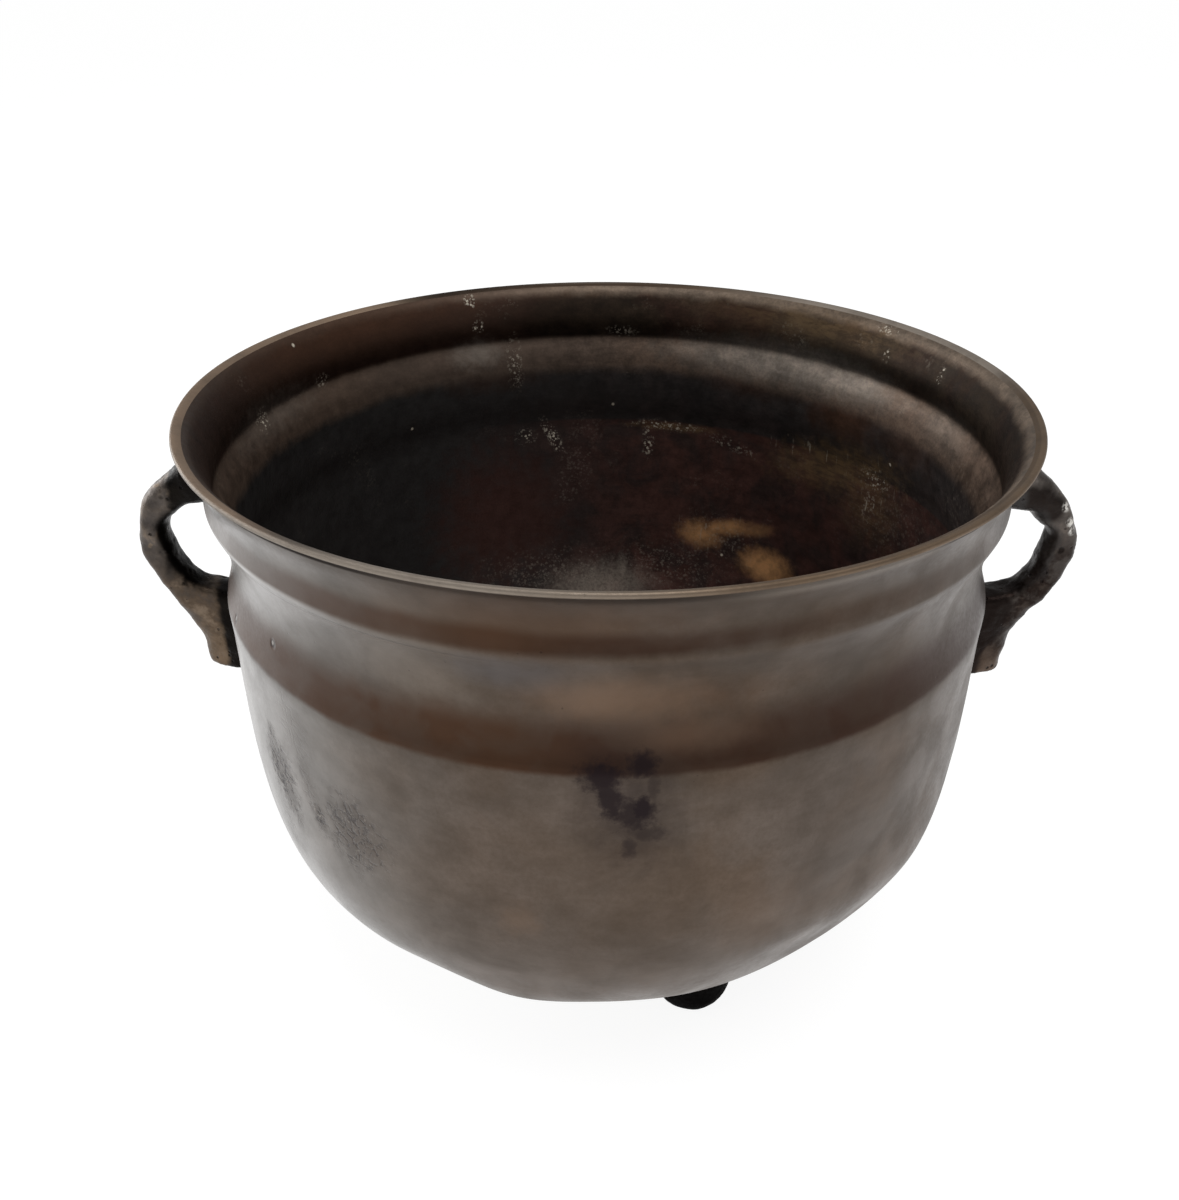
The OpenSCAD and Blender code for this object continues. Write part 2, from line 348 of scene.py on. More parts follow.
@dataclass(frozen=True)
class OutsidePatina:
    """The finish of the bowl's outer wall and lip: satin bronze under a thin brown-grey patina."""

    height: float
    grey: Colour = srgb(95, 85, 78)
    brown: Colour = srgb(93, 79, 68)
    cove: Colour = srgb(56, 39, 31)
    cove_left: Colour = srgb(70, 49, 36)
    slate: Colour = srgb(92, 88, 88)
    rust: Colour = srgb(94, 68, 50)
    tan: Colour = srgb(122, 100, 83)
    stain: Colour = srgb(36, 29, 31)
    # Bare bronze: the colour of rubbed metal and crust flakes, and also of painted sheen and painted light.
    bare_and_sheen: Colour = srgb(158, 148, 137)
    brass: Colour = srgb(124, 106, 88)
    flare: Colour = srgb(74, 60, 49)
    flare_left: Colour = srgb(156, 135, 116)
    undercut: Colour = srgb(34, 26, 23)
    gloss_low: float = 0.34
    gloss_high: float = 0.46
    stains: tuple[Patch, ...] = (
        Patch(-0.2, 133.4, 4.9, 4.2, 0.95, edge=0.6, ragged=0.4, grain=2.0),
        Patch(0.7, 127.6, 3.3, 8.0, 0.92, lean=15.0, edge=0.6, ragged=0.4, grain=2.0),
        Patch(3.5, 123.0, 5.6, 6.0, 0.88, edge=0.6, ragged=0.4, grain=2.0),
        Patch(4.4, 124.4, 2.6, 4.2, 0.98, edge=0.6, ragged=0.4, grain=2.0),
        Patch(5.2, 116.8, 5.4, 2.5, 0.65, edge=0.8, ragged=0.4, grain=2.0),
        Patch(3.1, 112.8, 1.9, 4.2, 0.7, edge=0.8, ragged=0.4, grain=2.0),
        Patch(4.4, 136.4, 3.4, 3.2, 0.9, edge=0.6, ragged=0.4, grain=2.0),
        Patch(5.7, 130.6, 1.7, 5.6, 0.6, edge=0.8, ragged=0.4, grain=2.0),
        Patch(3.6, 129.2, 4.2, 4.6, 0.5, edge=0.8, ragged=0.3, grain=2.0),
        Patch(3.0, 124.0, 9.5, 14.0, 0.45, edge=0.9, ragged=0.5, grain=6.0),
    )
    shades: tuple[Patch, ...] = (
        Patch(1.4, 109.0, 19.0, 15.0, 0.5, edge=0.8, ragged=0.3, grain=6.0),
        Patch(-4.7, 115.5, 7.0, 5.0, 0.45, edge=0.8, ragged=0.4, grain=6.0),
        Patch(6.8, 115.0, 8.0, 4.0, 0.5, edge=0.8, ragged=0.4, grain=6.0),
        Patch(5.0, 134.0, 13.0, 9.0, 0.3, edge=0.8, ragged=0.3, grain=6.0),
        Patch(-24.8, 134.0, 6.0, 5.0, 0.25, edge=0.8, ragged=0.3, grain=6.0),
        Patch(0.0, 82.0, 26.0, 16.0, 0.5, edge=0.9, ragged=0.3, grain=6.0),
        Patch(-10.5, 127.5, 10.0, 6.0, 0.35, edge=0.9, ragged=0.5, grain=6.0),
        Patch(21.0, 127.5, 10.0, 6.0, 0.3, edge=0.9, ragged=0.5, grain=6.0),
        Patch(-6.0, 113.5, 7.0, 7.5, 0.35, edge=0.9, ragged=0.5, grain=6.0),
        Patch(-27.6, 119.0, 6.0, 9.0, 0.3, edge=0.9, ragged=0.5, grain=6.0),
        Patch(0.0, 176.0, 100.0, 7.0, 0.3, edge=0.8, ragged=0.2, grain=6.0),
        Patch(-60.0, 147.0, 7.0, 6.0, 0.3, lean=20.0, edge=0.9, ragged=0.3, grain=6.0),
        Patch(-45.0, 145.0, 9.0, 4.5, 0.3, edge=0.9, ragged=0.3, grain=6.0),
    )
    tans: tuple[Patch, ...] = (
        Patch(1.0, 153.5, 14.0, 6.0, 0.5, edge=0.9, ragged=0.3, grain=6.0),
        Patch(-10.5, 86.6, 4.5, 5.0, 0.35, edge=0.8, grain=3.5),
        Patch(22.2, 83.4, 11.0, 11.0, 0.2, edge=0.9, grain=6.0),
    )
    slates: tuple[Patch, ...] = (
        Patch(-10.5, 160.0, 12.0, 4.5, 0.6, edge=0.8, ragged=0.4, grain=6.0),
    )
    rusts: tuple[Patch, ...] = (
        Patch(-7.0, 175.0, 26.0, 6.5, 0.4, edge=0.9, ragged=0.4, grain=6.0),
        Patch(6.0, 152.0, 22.0, 5.0, 0.3, edge=0.9, ragged=0.4, grain=6.0),
    )
    # Painted sheen: a lighter patch on the left of the neck and cove, where the wall catches the light.
    lights: tuple[Patch, ...] = (
        Patch(-22.0, 160.0, 14.0, 16.0, 0.18, edge=0.9, ragged=0.4, grain=6.0),
    )
    warm: tuple[Patch, ...] = (
        Patch(9.3, 142.5, 13.0, 3.4, 0.28, edge=0.9, ragged=0.3, grain=6.0),
    )
    scaly: tuple[Patch, ...] = (
        Patch(-52.0, 110.5, 3.0, 4.8, 0.85, lean=12.0, edge=0.5, ragged=0.5, grain=2.0),
        Patch(-51.0, 102.6, 7.0, 9.0, 1.0, lean=10.0, edge=0.5, ragged=0.5, grain=2.0),
        Patch(-49.4, 95.4, 5.0, 6.5, 0.85, lean=14.0, edge=0.6, ragged=0.5, grain=2.0),
        Patch(-48.0, 90.5, 2.0, 6.0, 0.5, lean=14.0, edge=0.8, ragged=0.5, grain=2.0),
        Patch(-43.3, 106.0, 3.0, 9.0, 0.4, lean=16.0, edge=0.8, ragged=0.5, grain=2.0),
        Patch(-41.5, 96.0, 2.6, 5.0, 0.9, lean=20.0, edge=0.7, ragged=0.5, grain=2.0),
        Patch(-34.6, 98.1, 9.5, 11.0, 0.7, edge=0.5, ragged=0.5, grain=3.5),
        Patch(-45.0, 122.0, 5.0, 8.0, 0.3, lean=15.0, edge=0.9, ragged=0.5, grain=3.5),
        Patch(-52.0, 84.0, 3.0, 9.0, 0.35, lean=10.0, edge=0.9, ragged=0.5, grain=3.5),
    )
    # Painted shadow: a near-black patch at the bottom of the wall, right of front, over the foot.
    soot: tuple[Patch, ...] = (
        Patch(24.0, 17.0, 13.0, 5.0, 0.95, edge=0.7, ragged=0.3, grain=3.0),
    )
    chips: tuple[tuple[float, float], ...] = ((-63.4, 136.4), (-49.1, 142.7))

    def make(self) -> bpy.types.Material:
        """Return the material."""
        n = Nodes("outside_patina")
        depth = n.math("SUBTRACT", self.height, n.z)
        clouds = n.cloud(30.0, 4.0, 0.55, 0.3)
        mottle = n.cloud(8.0, 5.0, 0.6)
        blots = n.cloud(17.0, 3.0, 0.5, 0.6)
        wash = n.cloud(5.0, 4.0, 0.6, 0.4, where=n.stretched(0.4, 0.4, 1.0))
        fine = n.cloud(1.3, 4.0, 0.7)
        right = n.span(n.x, -30 * MM, 60 * MM)
        colour = n.mix(n.math("MULTIPLY", n.span(clouds, 0.36, 0.66), n.span(right, 0.0, 1.0, 0.45, 0.9)),
                       self.grey, self.brown)
        for noise_value, dark, light in ((mottle, 0.92, 1.06), (blots, 0.93, 1.06), (wash, 0.93, 1.05), (fine, 0.92, 1.08)):
            tone = n.mix(n.span(noise_value, 0.3, 0.7), (dark, dark * 0.99, dark * 0.97), (light, light, light))
            colour = n.mix(1.0, colour, tone, "MULTIPLY")
        colour = n.mix(n.span(depth, 60 * MM, 48 * MM, 0.0, 0.13), colour, (0.0, 0.0, 0.0))
        colour = n.mix(n.span(n.x, -20 * MM, -90 * MM), colour, n.mix(1.0, colour, (0.93, 1.0, 1.02), "MULTIPLY"))
        # Painted shade: the wall darkens towards the right side, and more at its far right edge.
        colour = n.mix(n.span(n.x, 30 * MM, 60 * MM, 0.0, 0.13), colour, (0.0, 0.0, 0.0))
        colour = n.mix(n.span(n.x, 88 * MM, 106 * MM, 0.0, 0.2), colour, (0.0, 0.0, 0.0))
        # Painted sheen: the left neck is lightened towards bare metal.
        colour = n.mix(n.patches(self.lights), colour, self.bare_and_sheen)
        colour = n.mix(n.patches(self.slates), colour, self.slate)
        colour = n.mix(n.patches(self.rusts), colour, self.rust)
        colour = n.mix(n.patches(self.tans), colour, self.tan)
        colour = n.mix(n.math("MULTIPLY", n.patches(self.shades), 0.6), colour, srgb(68, 58, 49))
        uneven = n.span(clouds, 0.3, 0.6, 0.6, 1.0)
        waved = n.math("ADD", depth, n.math("MULTIPLY_ADD", blots, 3 * MM, -1.5 * MM))
        frayed = n.math("ADD", depth, n.math("MULTIPLY_ADD", mottle, 1.2 * MM, -0.6 * MM))
        far_left = n.span(n.x, -108 * MM, -60 * MM, 0.35, 1.0)
        sunk = n.math("ADD", frayed, n.span(n.x, -60 * MM, 50 * MM, -0.6 * MM, 1.0 * MM))
        crease = n.math("MULTIPLY", n.span(waved, 11.2 * MM, 15.0 * MM), n.span(sunk, 17.4 * MM, 19.8 * MM, 1.0, 0.0))
        crease = n.math("MULTIPLY", n.math("MULTIPLY", crease, n.math("MULTIPLY", uneven, 0.85)), far_left)
        crease = n.math("MULTIPLY", crease, n.span(n.x, 25 * MM, 55 * MM, 1.0, 0.35))
        low = n.math("MULTIPLY", n.span(waved, 34.0 * MM, 43.0 * MM), n.span(frayed, 50.2 * MM, 52.0 * MM, 1.0, 0.0))
        low = n.math("MULTIPLY", low, n.span(blots, 0.38, 0.58, 0.78, 1.0))
        cove = n.mix(n.span(n.x, 5 * MM, -25 * MM), self.cove, self.cove_left)
        colour = n.mix(n.math("MAXIMUM", crease, n.math("MULTIPLY", low, 0.93)), colour, cove)
        colour = n.mix(n.patches(self.warm), colour, self.tan)
        colour = n.mix(n.patches(self.stains), colour, self.stain)
        scales = n.patches(self.scaly)
        broken = n.span(n.cloud(2.6, 4.0, 0.7), 0.43, 0.54)
        lines = n.math("MULTIPLY", n.math("MULTIPLY", n.crackle(3.4, 0.18), broken), scales)
        colour = n.mix(n.math("MAXIMUM", lines, n.math("MULTIPLY", scales, 0.35)), colour, self.stain)
        flakes = n.math("MULTIPLY", n.span(n.cloud(1.4, 3.0, 0.6), 0.6, 0.7), scales)
        colour = n.mix(n.math("MULTIPLY", flakes, 0.5), colour, self.bare_and_sheen)
        rims = n.patches(tuple(Patch(turn, height, 1.2, 1.3, 0.7, edge=0.5, ragged=0.0) for turn, height in self.chips))
        hearts = n.patches(tuple(Patch(turn, height + 0.3, 0.5, 0.6, 0.7, ragged=0.0) for turn, height in self.chips))
        colour = n.mix(hearts, n.mix(rims, colour, self.stain), (0.4, 0.38, 0.35))
        spots, _ = n.cells(3.4)
        pitted = n.math("MULTIPLY", n.span(spots, 0.1, 0.04), n.span(n.cloud(40.0, 2.0), 0.6, 0.66))
        colour = n.mix(n.math("MULTIPLY", pitted, 0.35), colour, self.stain)
        leftward = n.span(n.x, 40 * MM, -40 * MM)
        shaded = n.math("MAXIMUM", n.span(n.x, -25 * MM, -65 * MM, 0.25, 0.95), n.span(n.x, 60 * MM, 85 * MM, 0.0, 0.75))
        # Painted shadow under the lip's overhang, in the undercut colour: faint at the front, strong towards both
        # sides.
        under = n.math("MULTIPLY", n.band(depth, (1.2, 1.5), (2.7, 3.9)), shaded)
        colour = n.mix(under, colour, self.undercut)
        # Painted light: right of front, the band under the lip is lightened towards bare metal.
        lifted = n.math("MULTIPLY", n.band(depth, (1.2, 1.8), (3.4, 6.0)), n.band(n.x, (18.0, 40.0), (62.0, 80.0)))
        colour = n.mix(n.math("MULTIPLY", lifted, 0.4), colour, self.bare_and_sheen)
        # The lip: rubbed bare metal showing through, with a painted highlight along its outer edge (line).
        lip = n.span(depth, 1.8 * MM, 1.2 * MM)
        worn = n.math("MULTIPLY", lip, n.span(n.cloud(14.0, 5.0, 0.7), 0.25, 0.6, 0.6, 0.95))
        front = n.span(n.y, -86 * MM, -111 * MM)
        behind = n.math("MULTIPLY", n.span(n.x, 20 * MM, 80 * MM), n.span(n.y, -10 * MM, 20 * MM))
        along = n.math("MAXIMUM", n.span(n.y, 60 * MM, -20 * MM, 0.3, 1.0), behind)
        outward = n.math("SUBTRACT", n.ring(), n.span(n.x, -10 * MM, -50 * MM, 0.0, 1.4 * MM))
        line = n.math("MULTIPLY", n.span(outward, 117.7 * MM, 118.6 * MM), along)
        bright = n.math("MAXIMUM", n.math("MAXIMUM", line, behind), front)
        bright = n.math("MAXIMUM", bright, n.span(n.x, 10 * MM, 50 * MM, 0.0, 0.6))
        metal = n.mix(n.math("MAXIMUM", leftward, behind), self.brass, self.bare_and_sheen)
        metal = n.mix(n.span(n.x, -62 * MM, -90 * MM, 0.0, 0.35), metal, (0.0, 0.0, 0.0))
        flare = n.mix(n.span(n.x, -10 * MM, -60 * MM, 0.0, 0.45), self.flare, (0.0, 0.0, 0.0))
        flare = n.mix(n.span(n.x, -62 * MM, -86 * MM), flare, self.flare_left)
        colour = n.mix(worn, colour, n.mix(bright, flare, metal))
        # Painted shadow over the foot, near black.
        colour = n.mix(n.patches(self.soot), colour, (0.004, 0.003, 0.003))
        # Painted highlight: a pale line along the ridge at the far left.
        crest = n.math("MULTIPLY", n.band(depth, (18.4, 19.4), (19.8, 21.6)), n.span(n.x, -50 * MM, -100 * MM, 0.0, 0.7))
        colour = n.mix(crest, colour, (0.5, 0.48, 0.46))
        rings = n.cloud(0.9, 3.0, 0.7, where=n.stretched(0.02, 0.02, 1.0))
        turned = n.math("MULTIPLY", n.band(depth, (21.4, 21.9), (22.1, 22.6)), n.span(n.x, -10 * MM, -60 * MM))
        smooth_lip = n.math("MULTIPLY", rings, n.math("SUBTRACT", 1.0, lip))
        n.relief((smooth_lip, 0.01), (mottle, 0.05), (fine, 0.012), (pitted, -0.05), (lines, -0.25), (flakes, 0.15),
                 (turned, -0.08), (rims, -0.3))
        gloss = n.math("ADD", n.span(blots, 0.3, 0.7, self.gloss_high, self.gloss_low), n.span(fine, 0.3, 0.7, -0.04, 0.04))
        gloss = n.math("ADD", gloss, n.math("MAXIMUM", n.math("MULTIPLY", lip, 0.2), n.math("MULTIPLY", under, 0.5)))
        n.shader.inputs["Coat Roughness"].default_value = 0.25
        gone = n.math("MAXIMUM", n.math("MAXIMUM", lines, n.math("MULTIPLY", scales, 0.7)), rims)
        worn_wax = n.math("SUBTRACT", 1.0, n.math("MAXIMUM", gone, n.math("MULTIPLY", n.patches(self.shades), 0.9)))
        waxed = n.math("MULTIPLY", n.span(n.x, -25 * MM, -85 * MM), n.span(depth, 3.6 * MM, 9.0 * MM, 0.0, 1.0))
        waxed = n.math("MULTIPLY", waxed, n.math("MULTIPLY_ADD", low, -0.75, 1.0))
        waxed = n.math("MAXIMUM", waxed, n.math("MULTIPLY", line, n.span(n.x, -50 * MM, -100 * MM, 0.0, 0.15)))
        waxed = n.math("MULTIPLY", waxed, n.span(mottle, 0.3, 0.65, 0.8, 1.0))
        n.feed(n.shader.inputs["Coat Weight"], n.math("MULTIPLY", waxed, worn_wax))
        return n.finish(colour, gloss)


@dataclass(frozen=True)
class InsidePatina:
    """The finish of the bowl's inside: dark red-brown, dusty in places, and in two places rubbed bare with a painted
    golden reflection.
    """

    height: float
    neck: Colour = srgb(56, 39, 31)
    neck_right: Colour = srgb(68, 55, 43)
    groove: Colour = srgb(104, 87, 75)
    lip: Colour = srgb(120, 106, 93)
    pale: Colour = srgb(168, 160, 150)
    black: Colour = srgb(52, 50, 49)
    red: Colour = srgb(85, 55, 48)
    olive: Colour = srgb(134, 108, 74)
    chestnut: Colour = srgb(80, 54, 39)
    gold: Colour = srgb(240, 180, 122)
    grey: Colour = srgb(176, 164, 150)
    dust: Colour = srgb(206, 196, 178)
    metal: float = 0.4
    gold_reflections: tuple[Patch, ...] = (
        Patch(21.0, 86.8, 7.2, 4.6, 0.8, edge=0.8, ragged=0.25, grain=3.0, on_far_wall=True),
        Patch(26.4, 91.2, 10.5, 2.8, 0.8, lean=14.0, edge=0.8, ragged=0.25, grain=3.0, on_far_wall=True),
        Patch(32.5, 93.0, 7.0, 2.2, 0.5, lean=14.0, edge=0.9, ragged=0.25, grain=3.0, on_far_wall=True),
        Patch(36.3, 79.4, 9.8, 5.6, 0.97, edge=0.7, ragged=0.25, grain=3.0, on_far_wall=True),
    )
    greys: tuple[Patch, ...] = (
        Patch(-1.0, 61.0, 18.0, 7.5, 0.62, edge=0.9, ragged=0.35, grain=2.0, on_far_wall=True),
        Patch(3.8, 66.8, 2.2, 5.0, 0.6, edge=0.9, ragged=0.4, grain=2.0, on_far_wall=True),
    )
    # Painted highlight: pale patches high on the far wall, strongest on the right.
    pales: tuple[Patch, ...] = (
        Patch(37.0, 162.5, 40.0, 6.5, 0.5, edge=0.7, ragged=0.3, grain=5.0, on_far_wall=True),
        Patch(52.0, 162.5, 16.0, 5.0, 0.5, edge=0.9, ragged=0.4, grain=5.0, on_far_wall=True),
        Patch(77.0, 162.0, 14.0, 5.0, 0.2, edge=0.9, ragged=0.4, grain=5.0, on_far_wall=True),
        Patch(-76.0, 165.0, 20.0, 5.0, 0.2, edge=0.9, ragged=0.5, grain=3.0, on_far_wall=True),
        Patch(-26.0, 163.0, 8.0, 4.0, 0.3, edge=0.9, ragged=0.5, grain=3.0, on_far_wall=True),
    )
    browns: tuple[Patch, ...] = (
        Patch(-24.0, 153.5, 16.0, 4.0, 0.4, edge=0.9, ragged=0.5, grain=5.0, on_far_wall=True),
        Patch(30.0, 153.5, 14.0, 4.0, 0.5, edge=0.9, ragged=0.5, grain=5.0, on_far_wall=True),
        Patch(51.0, 150.0, 14.0, 7.0, 0.9, edge=0.8, ragged=0.5, grain=5.0, on_far_wall=True),
        Patch(68.0, 150.0, 12.0, 6.0, 0.5, edge=0.9, ragged=0.5, grain=5.0, on_far_wall=True),
        Patch(-58.0, 181.0, 44.0, 7.0, 0.75, edge=0.9, ragged=0.4, grain=5.0, on_far_wall=True),
    )
    reds: tuple[Patch, ...] = (
        Patch(-21.0, 94.0, 27.0, 26.0, 0.8, edge=0.7, ragged=0.4, grain=5.0, on_far_wall=True),
    )
    olives: tuple[Patch, ...] = (
        Patch(51.0, 130.5, 24.0, 8.0, 0.75, lean=12.0, edge=0.8, ragged=0.5, grain=3.0, on_far_wall=True),
        Patch(59.0, 122.0, 12.0, 12.0, 0.45, edge=0.9, ragged=0.5, grain=3.0, on_far_wall=True),
        Patch(41.0, 179.0, 30.0, 4.0, 0.25, edge=0.9, ragged=0.4, grain=5.0, on_far_wall=True),
        Patch(14.0, 131.5, 14.0, 1.6, 0.6, edge=0.8, ragged=0.5, grain=2.0, on_far_wall=True),
    )
    dusted: tuple[Patch, ...] = (
        Patch(-11.0, 126.3, 1.8, 7.5, 1.0, lean=28.0, edge=0.8, ragged=0.3, grain=2.0, on_far_wall=True),
        Patch(-16.7, 127.5, 3.0, 2.6, 0.8, edge=0.8, ragged=0.3, grain=2.0, on_far_wall=True),
        Patch(12.3, 131.6, 11.0, 1.8, 0.9, edge=0.8, ragged=0.3, grain=2.0, on_far_wall=True),
        Patch(8.7, 124.4, 1.8, 5.5, 0.9, edge=0.8, ragged=0.3, grain=2.0, on_far_wall=True),
        Patch(26.2, 127.1, 9.0, 1.8, 0.5, lean=-14.0, edge=0.8, ragged=0.3, grain=2.0, on_far_wall=True),
        Patch(59.8, 131.5, 6.0, 3.2, 0.9, edge=0.8, ragged=0.3, grain=2.0, on_far_wall=True),
        Patch(58.8, 121.2, 3.0, 6.0, 0.4, edge=0.8, ragged=0.3, grain=2.0, on_far_wall=True),
        Patch(71.2, 176.4, 1.0, 2.2, 1.0, edge=0.6, ragged=0.2, grain=2.0, on_far_wall=True),
        Patch(57.7, 175.4, 1.4, 1.6, 0.9, edge=0.6, ragged=0.2, grain=2.0, on_far_wall=True),
        Patch(55.7, 183.6, 4.0, 1.8, 1.0, edge=0.6, ragged=0.2, grain=2.0, on_far_wall=True),
        Patch(-26.2, 182.0, 1.8, 2.0, 1.0, edge=0.6, ragged=0.2, grain=2.0, on_far_wall=True),
        Patch(-25.4, 173.0, 1.8, 1.8, 1.0, edge=0.6, ragged=0.2, grain=2.0, on_far_wall=True),
        Patch(-18.6, 158.0, 2.4, 8.0, 0.45, edge=0.8, ragged=0.3, grain=2.0, on_far_wall=True),
        Patch(2.6, 168.4, 5.0, 1.6, 0.4, edge=0.8, ragged=0.3, grain=2.0, on_far_wall=True),
        Patch(-77.7, 165.3, 3.0, 3.0, 0.9, edge=0.7, ragged=0.2, grain=2.0, on_far_wall=True),
        Patch(-60.0, 167.5, 2.4, 2.0, 0.7, edge=0.7, ragged=0.2, grain=2.0, on_far_wall=True),
        Patch(-12.0, 68.0, 26.0, 8.0, 0.2, edge=0.9, ragged=0.5, grain=3.0, on_far_wall=True),
        Patch(14.0, 71.0, 22.0, 8.0, 0.2, edge=0.9, ragged=0.5, grain=3.0, on_far_wall=True),
        Patch(25.0, 87.0, 14.0, 8.0, 0.2, edge=0.9, ragged=0.5, grain=3.0, on_far_wall=True),
        Patch(66.0, 120.0, 22.0, 14.0, 0.12, edge=0.9, ragged=0.5, grain=5.0, on_far_wall=True),
    )
    scratched: tuple[Patch, ...] = (
        Patch(59.8, 127.0, 8.0, 9.0, 0.8, edge=0.8, ragged=0.3, grain=3.0, on_far_wall=True),
        Patch(71.2, 176.0, 2.0, 3.0, 0.9, edge=0.6, ragged=0.2, grain=3.0, on_far_wall=True),
        Patch(46.0, 133.0, 16.0, 4.0, 0.5, edge=0.9, ragged=0.3, grain=3.0, on_far_wall=True),
        Patch(-77.0, 166.0, 4.0, 4.0, 0.6, edge=0.9, ragged=0.3, grain=3.0, on_far_wall=True),
        Patch(26.0, 88.0, 16.0, 9.0, 0.4, edge=0.9, ragged=0.3, grain=3.0, on_far_wall=True),
    )
    flecks: tuple[tuple[float, float], ...] = ((-41.6, 140.0), (1.4, 140.0), (-64.1, 181.4), (26.0, 79.0), (64.0, 141.0))

    def make(self) -> bpy.types.Material:
        """Return the material."""
        n = Nodes("inside_patina")
        depth = n.math("SUBTRACT", self.height, n.z)
        clouds = n.cloud(30.0, 4.0, 0.6, 0.5)
        blots = n.cloud(13.0, 4.0, 0.6, 0.6)
        mottle = n.cloud(5.0, 5.0, 0.65)
        fine = n.cloud(1.1, 4.0, 0.7)
        smears = n.cloud(2.2, 4.0, 0.7, 0.3, where=n.stretched(0.3, 0.3, 1.0))
        right = n.span(n.x, -70 * MM, 30 * MM)
        redness = n.math("MULTIPLY", right, n.span(blots, 0.36, 0.6, 0.45, 0.9))
        redness = n.math("MULTIPLY", redness, n.span(depth, 51.0 * MM, 52.4 * MM, 0.15, 1.0))
        colour = n.mix(n.math("MAXIMUM", redness, n.patches(self.reds)), self.black, self.red)
        colour = n.mix(n.patches(self.browns[:4]), colour, self.chestnut)
        wavy_lip = n.math("ADD", depth, n.math("MULTIPLY_ADD", blots, 6 * MM, -3 * MM))
        waved = n.math("ADD", wavy_lip, n.math("MULTIPLY_ADD", smears, 3 * MM, -1.5 * MM))
        waved = n.math("SUBTRACT", waved, n.span(n.x, 35 * MM, 75 * MM, 0.0, 1.6 * MM))
        # Painted shade: over the left and middle of the wall the groove band is darkened towards black.
        dimmed_in_shade = n.math("MULTIPLY", n.span(n.x, -98 * MM, -75 * MM), n.span(n.x, 18 * MM, -6 * MM, 0.0, 0.3))
        colour = n.mix(n.span(waved, 33 * MM, 28.4 * MM), colour, n.mix(dimmed_in_shade, self.groove, self.black))
        # The throat turns lighter and browner towards the right: partly painted light where the far wall faces the
        # light, partly random tone.
        throat = n.mix(n.math("MULTIPLY", right, n.span(clouds, 0.35, 0.6)), self.neck, self.neck_right)
        middle = n.math("MULTIPLY", n.span(n.x, -45 * MM, -20 * MM), n.span(n.x, 30 * MM, 12 * MM, 0.0, 0.55))
        far_right = n.span(n.x, 55 * MM, 80 * MM, 0.0, 0.5)
        dim = n.math("MULTIPLY", n.math("MAXIMUM", middle, far_right), n.span(depth, 2.5 * MM, 5.5 * MM))
        throat = n.mix(n.patches(self.browns[4:]), n.mix(dim, throat, (0.0, 0.0, 0.0)), self.chestnut)
        colour = n.mix(n.span(depth, 19.6 * MM, 17.5 * MM), colour, throat)
        rim = n.math("MULTIPLY", n.span(wavy_lip, 5.0 * MM, 1.6 * MM), n.span(n.x, -95 * MM, 70 * MM, 0.15, 0.95))
        colour = n.mix(rim, colour, self.lip)
        # Painted highlight high on the far wall.
        colour = n.mix(n.patches(self.pales), colour, self.pale)
        calm = n.span(n.math("MULTIPLY", right, n.span(depth, 36 * MM, 30 * MM, 0.6, 1.0)), 0.2, 0.8, 0.45, 1.0)
        for noise_value, dark, light in ((mottle, 0.74, 1.2), (blots, 0.8, 1.15), (smears, 0.84, 1.16), (fine, 0.85, 1.15)):
            colour = n.mix(calm, colour, n.mix(1.0, colour, n.mix(n.span(noise_value, 0.3, 0.7), (dark,) * 3, (light,) * 3),
                                               "MULTIPLY"))
        ragged = n.span(smears, 0.36, 0.6, 0.35, 1.0)
        colour = n.mix(n.math("MULTIPLY", n.patches(self.olives), ragged), colour, self.olive)
        # Painted reflection: golden patches low on the far wall, over rubbed bare metal.
        worn = n.math("MULTIPLY", n.patches(self.gold_reflections), n.span(mottle, 0.3, 0.6, 0.6, 1.0))
        colour = n.mix(worn, colour, self.gold)
        colour = n.mix(n.math("MULTIPLY", n.patches(self.greys), n.span(fine, 0.3, 0.6, 0.5, 1.0)), colour, self.grey)
        spots, _ = n.cells(1.5)
        crumbs, _ = n.cells(0.8)
        sparse = n.cloud(1.9, 4.0, 0.75)
        chance = n.math("MAXIMUM", n.patches(self.dusted), n.span(n.cloud(26.0, 3.0, 0.6), 0.55, 0.7, 0.0, 0.12))
        big = n.math("MULTIPLY", n.span(n.math("MULTIPLY_ADD", fine, 0.7, spots), 0.8, 0.62), n.span(sparse, 0.46, 0.52))
        small = n.math("MULTIPLY", n.span(crumbs, 0.5, 0.25), n.span(smears, 0.48, 0.56, 0.0, 0.7))
        dusty = n.math("MULTIPLY", n.math("MAXIMUM", big, small), chance)
        strokes = n.cloud(1.5, 2.0, 0.5, where=n.stretched(1.0, 1.0, 0.12))
        strokes = n.math("MULTIPLY", n.span(strokes, 0.64, 0.7), n.span(sparse, 0.4, 0.5))
        dusty = n.math("MAXIMUM", dusty, n.math("MULTIPLY", strokes, n.patches(self.scratched)))
        dots = tuple(Patch(turn, height, 0.55, 0.55, 0.95, edge=0.5, ragged=0.0, on_far_wall=True) for turn, height in self.flecks)
        dusty = n.math("MAXIMUM", dusty, n.patches(dots))
        colour = n.mix(dusty, colour, self.dust)
        rings = n.cloud(1.1, 3.0, 0.7, where=n.stretched(0.02, 0.02, 1.0))
        n.relief((rings, 0.012), (mottle, 0.08), (fine, 0.02), (dusty, 0.08))
        metal = n.math("MULTIPLY", n.math("SUBTRACT", 1.0, dusty), n.span(depth, 28 * MM, 42 * MM, 0.85, self.metal))
        return n.finish(colour, n.span(mottle, 0.3, 0.7, 0.46, 0.6), metal)


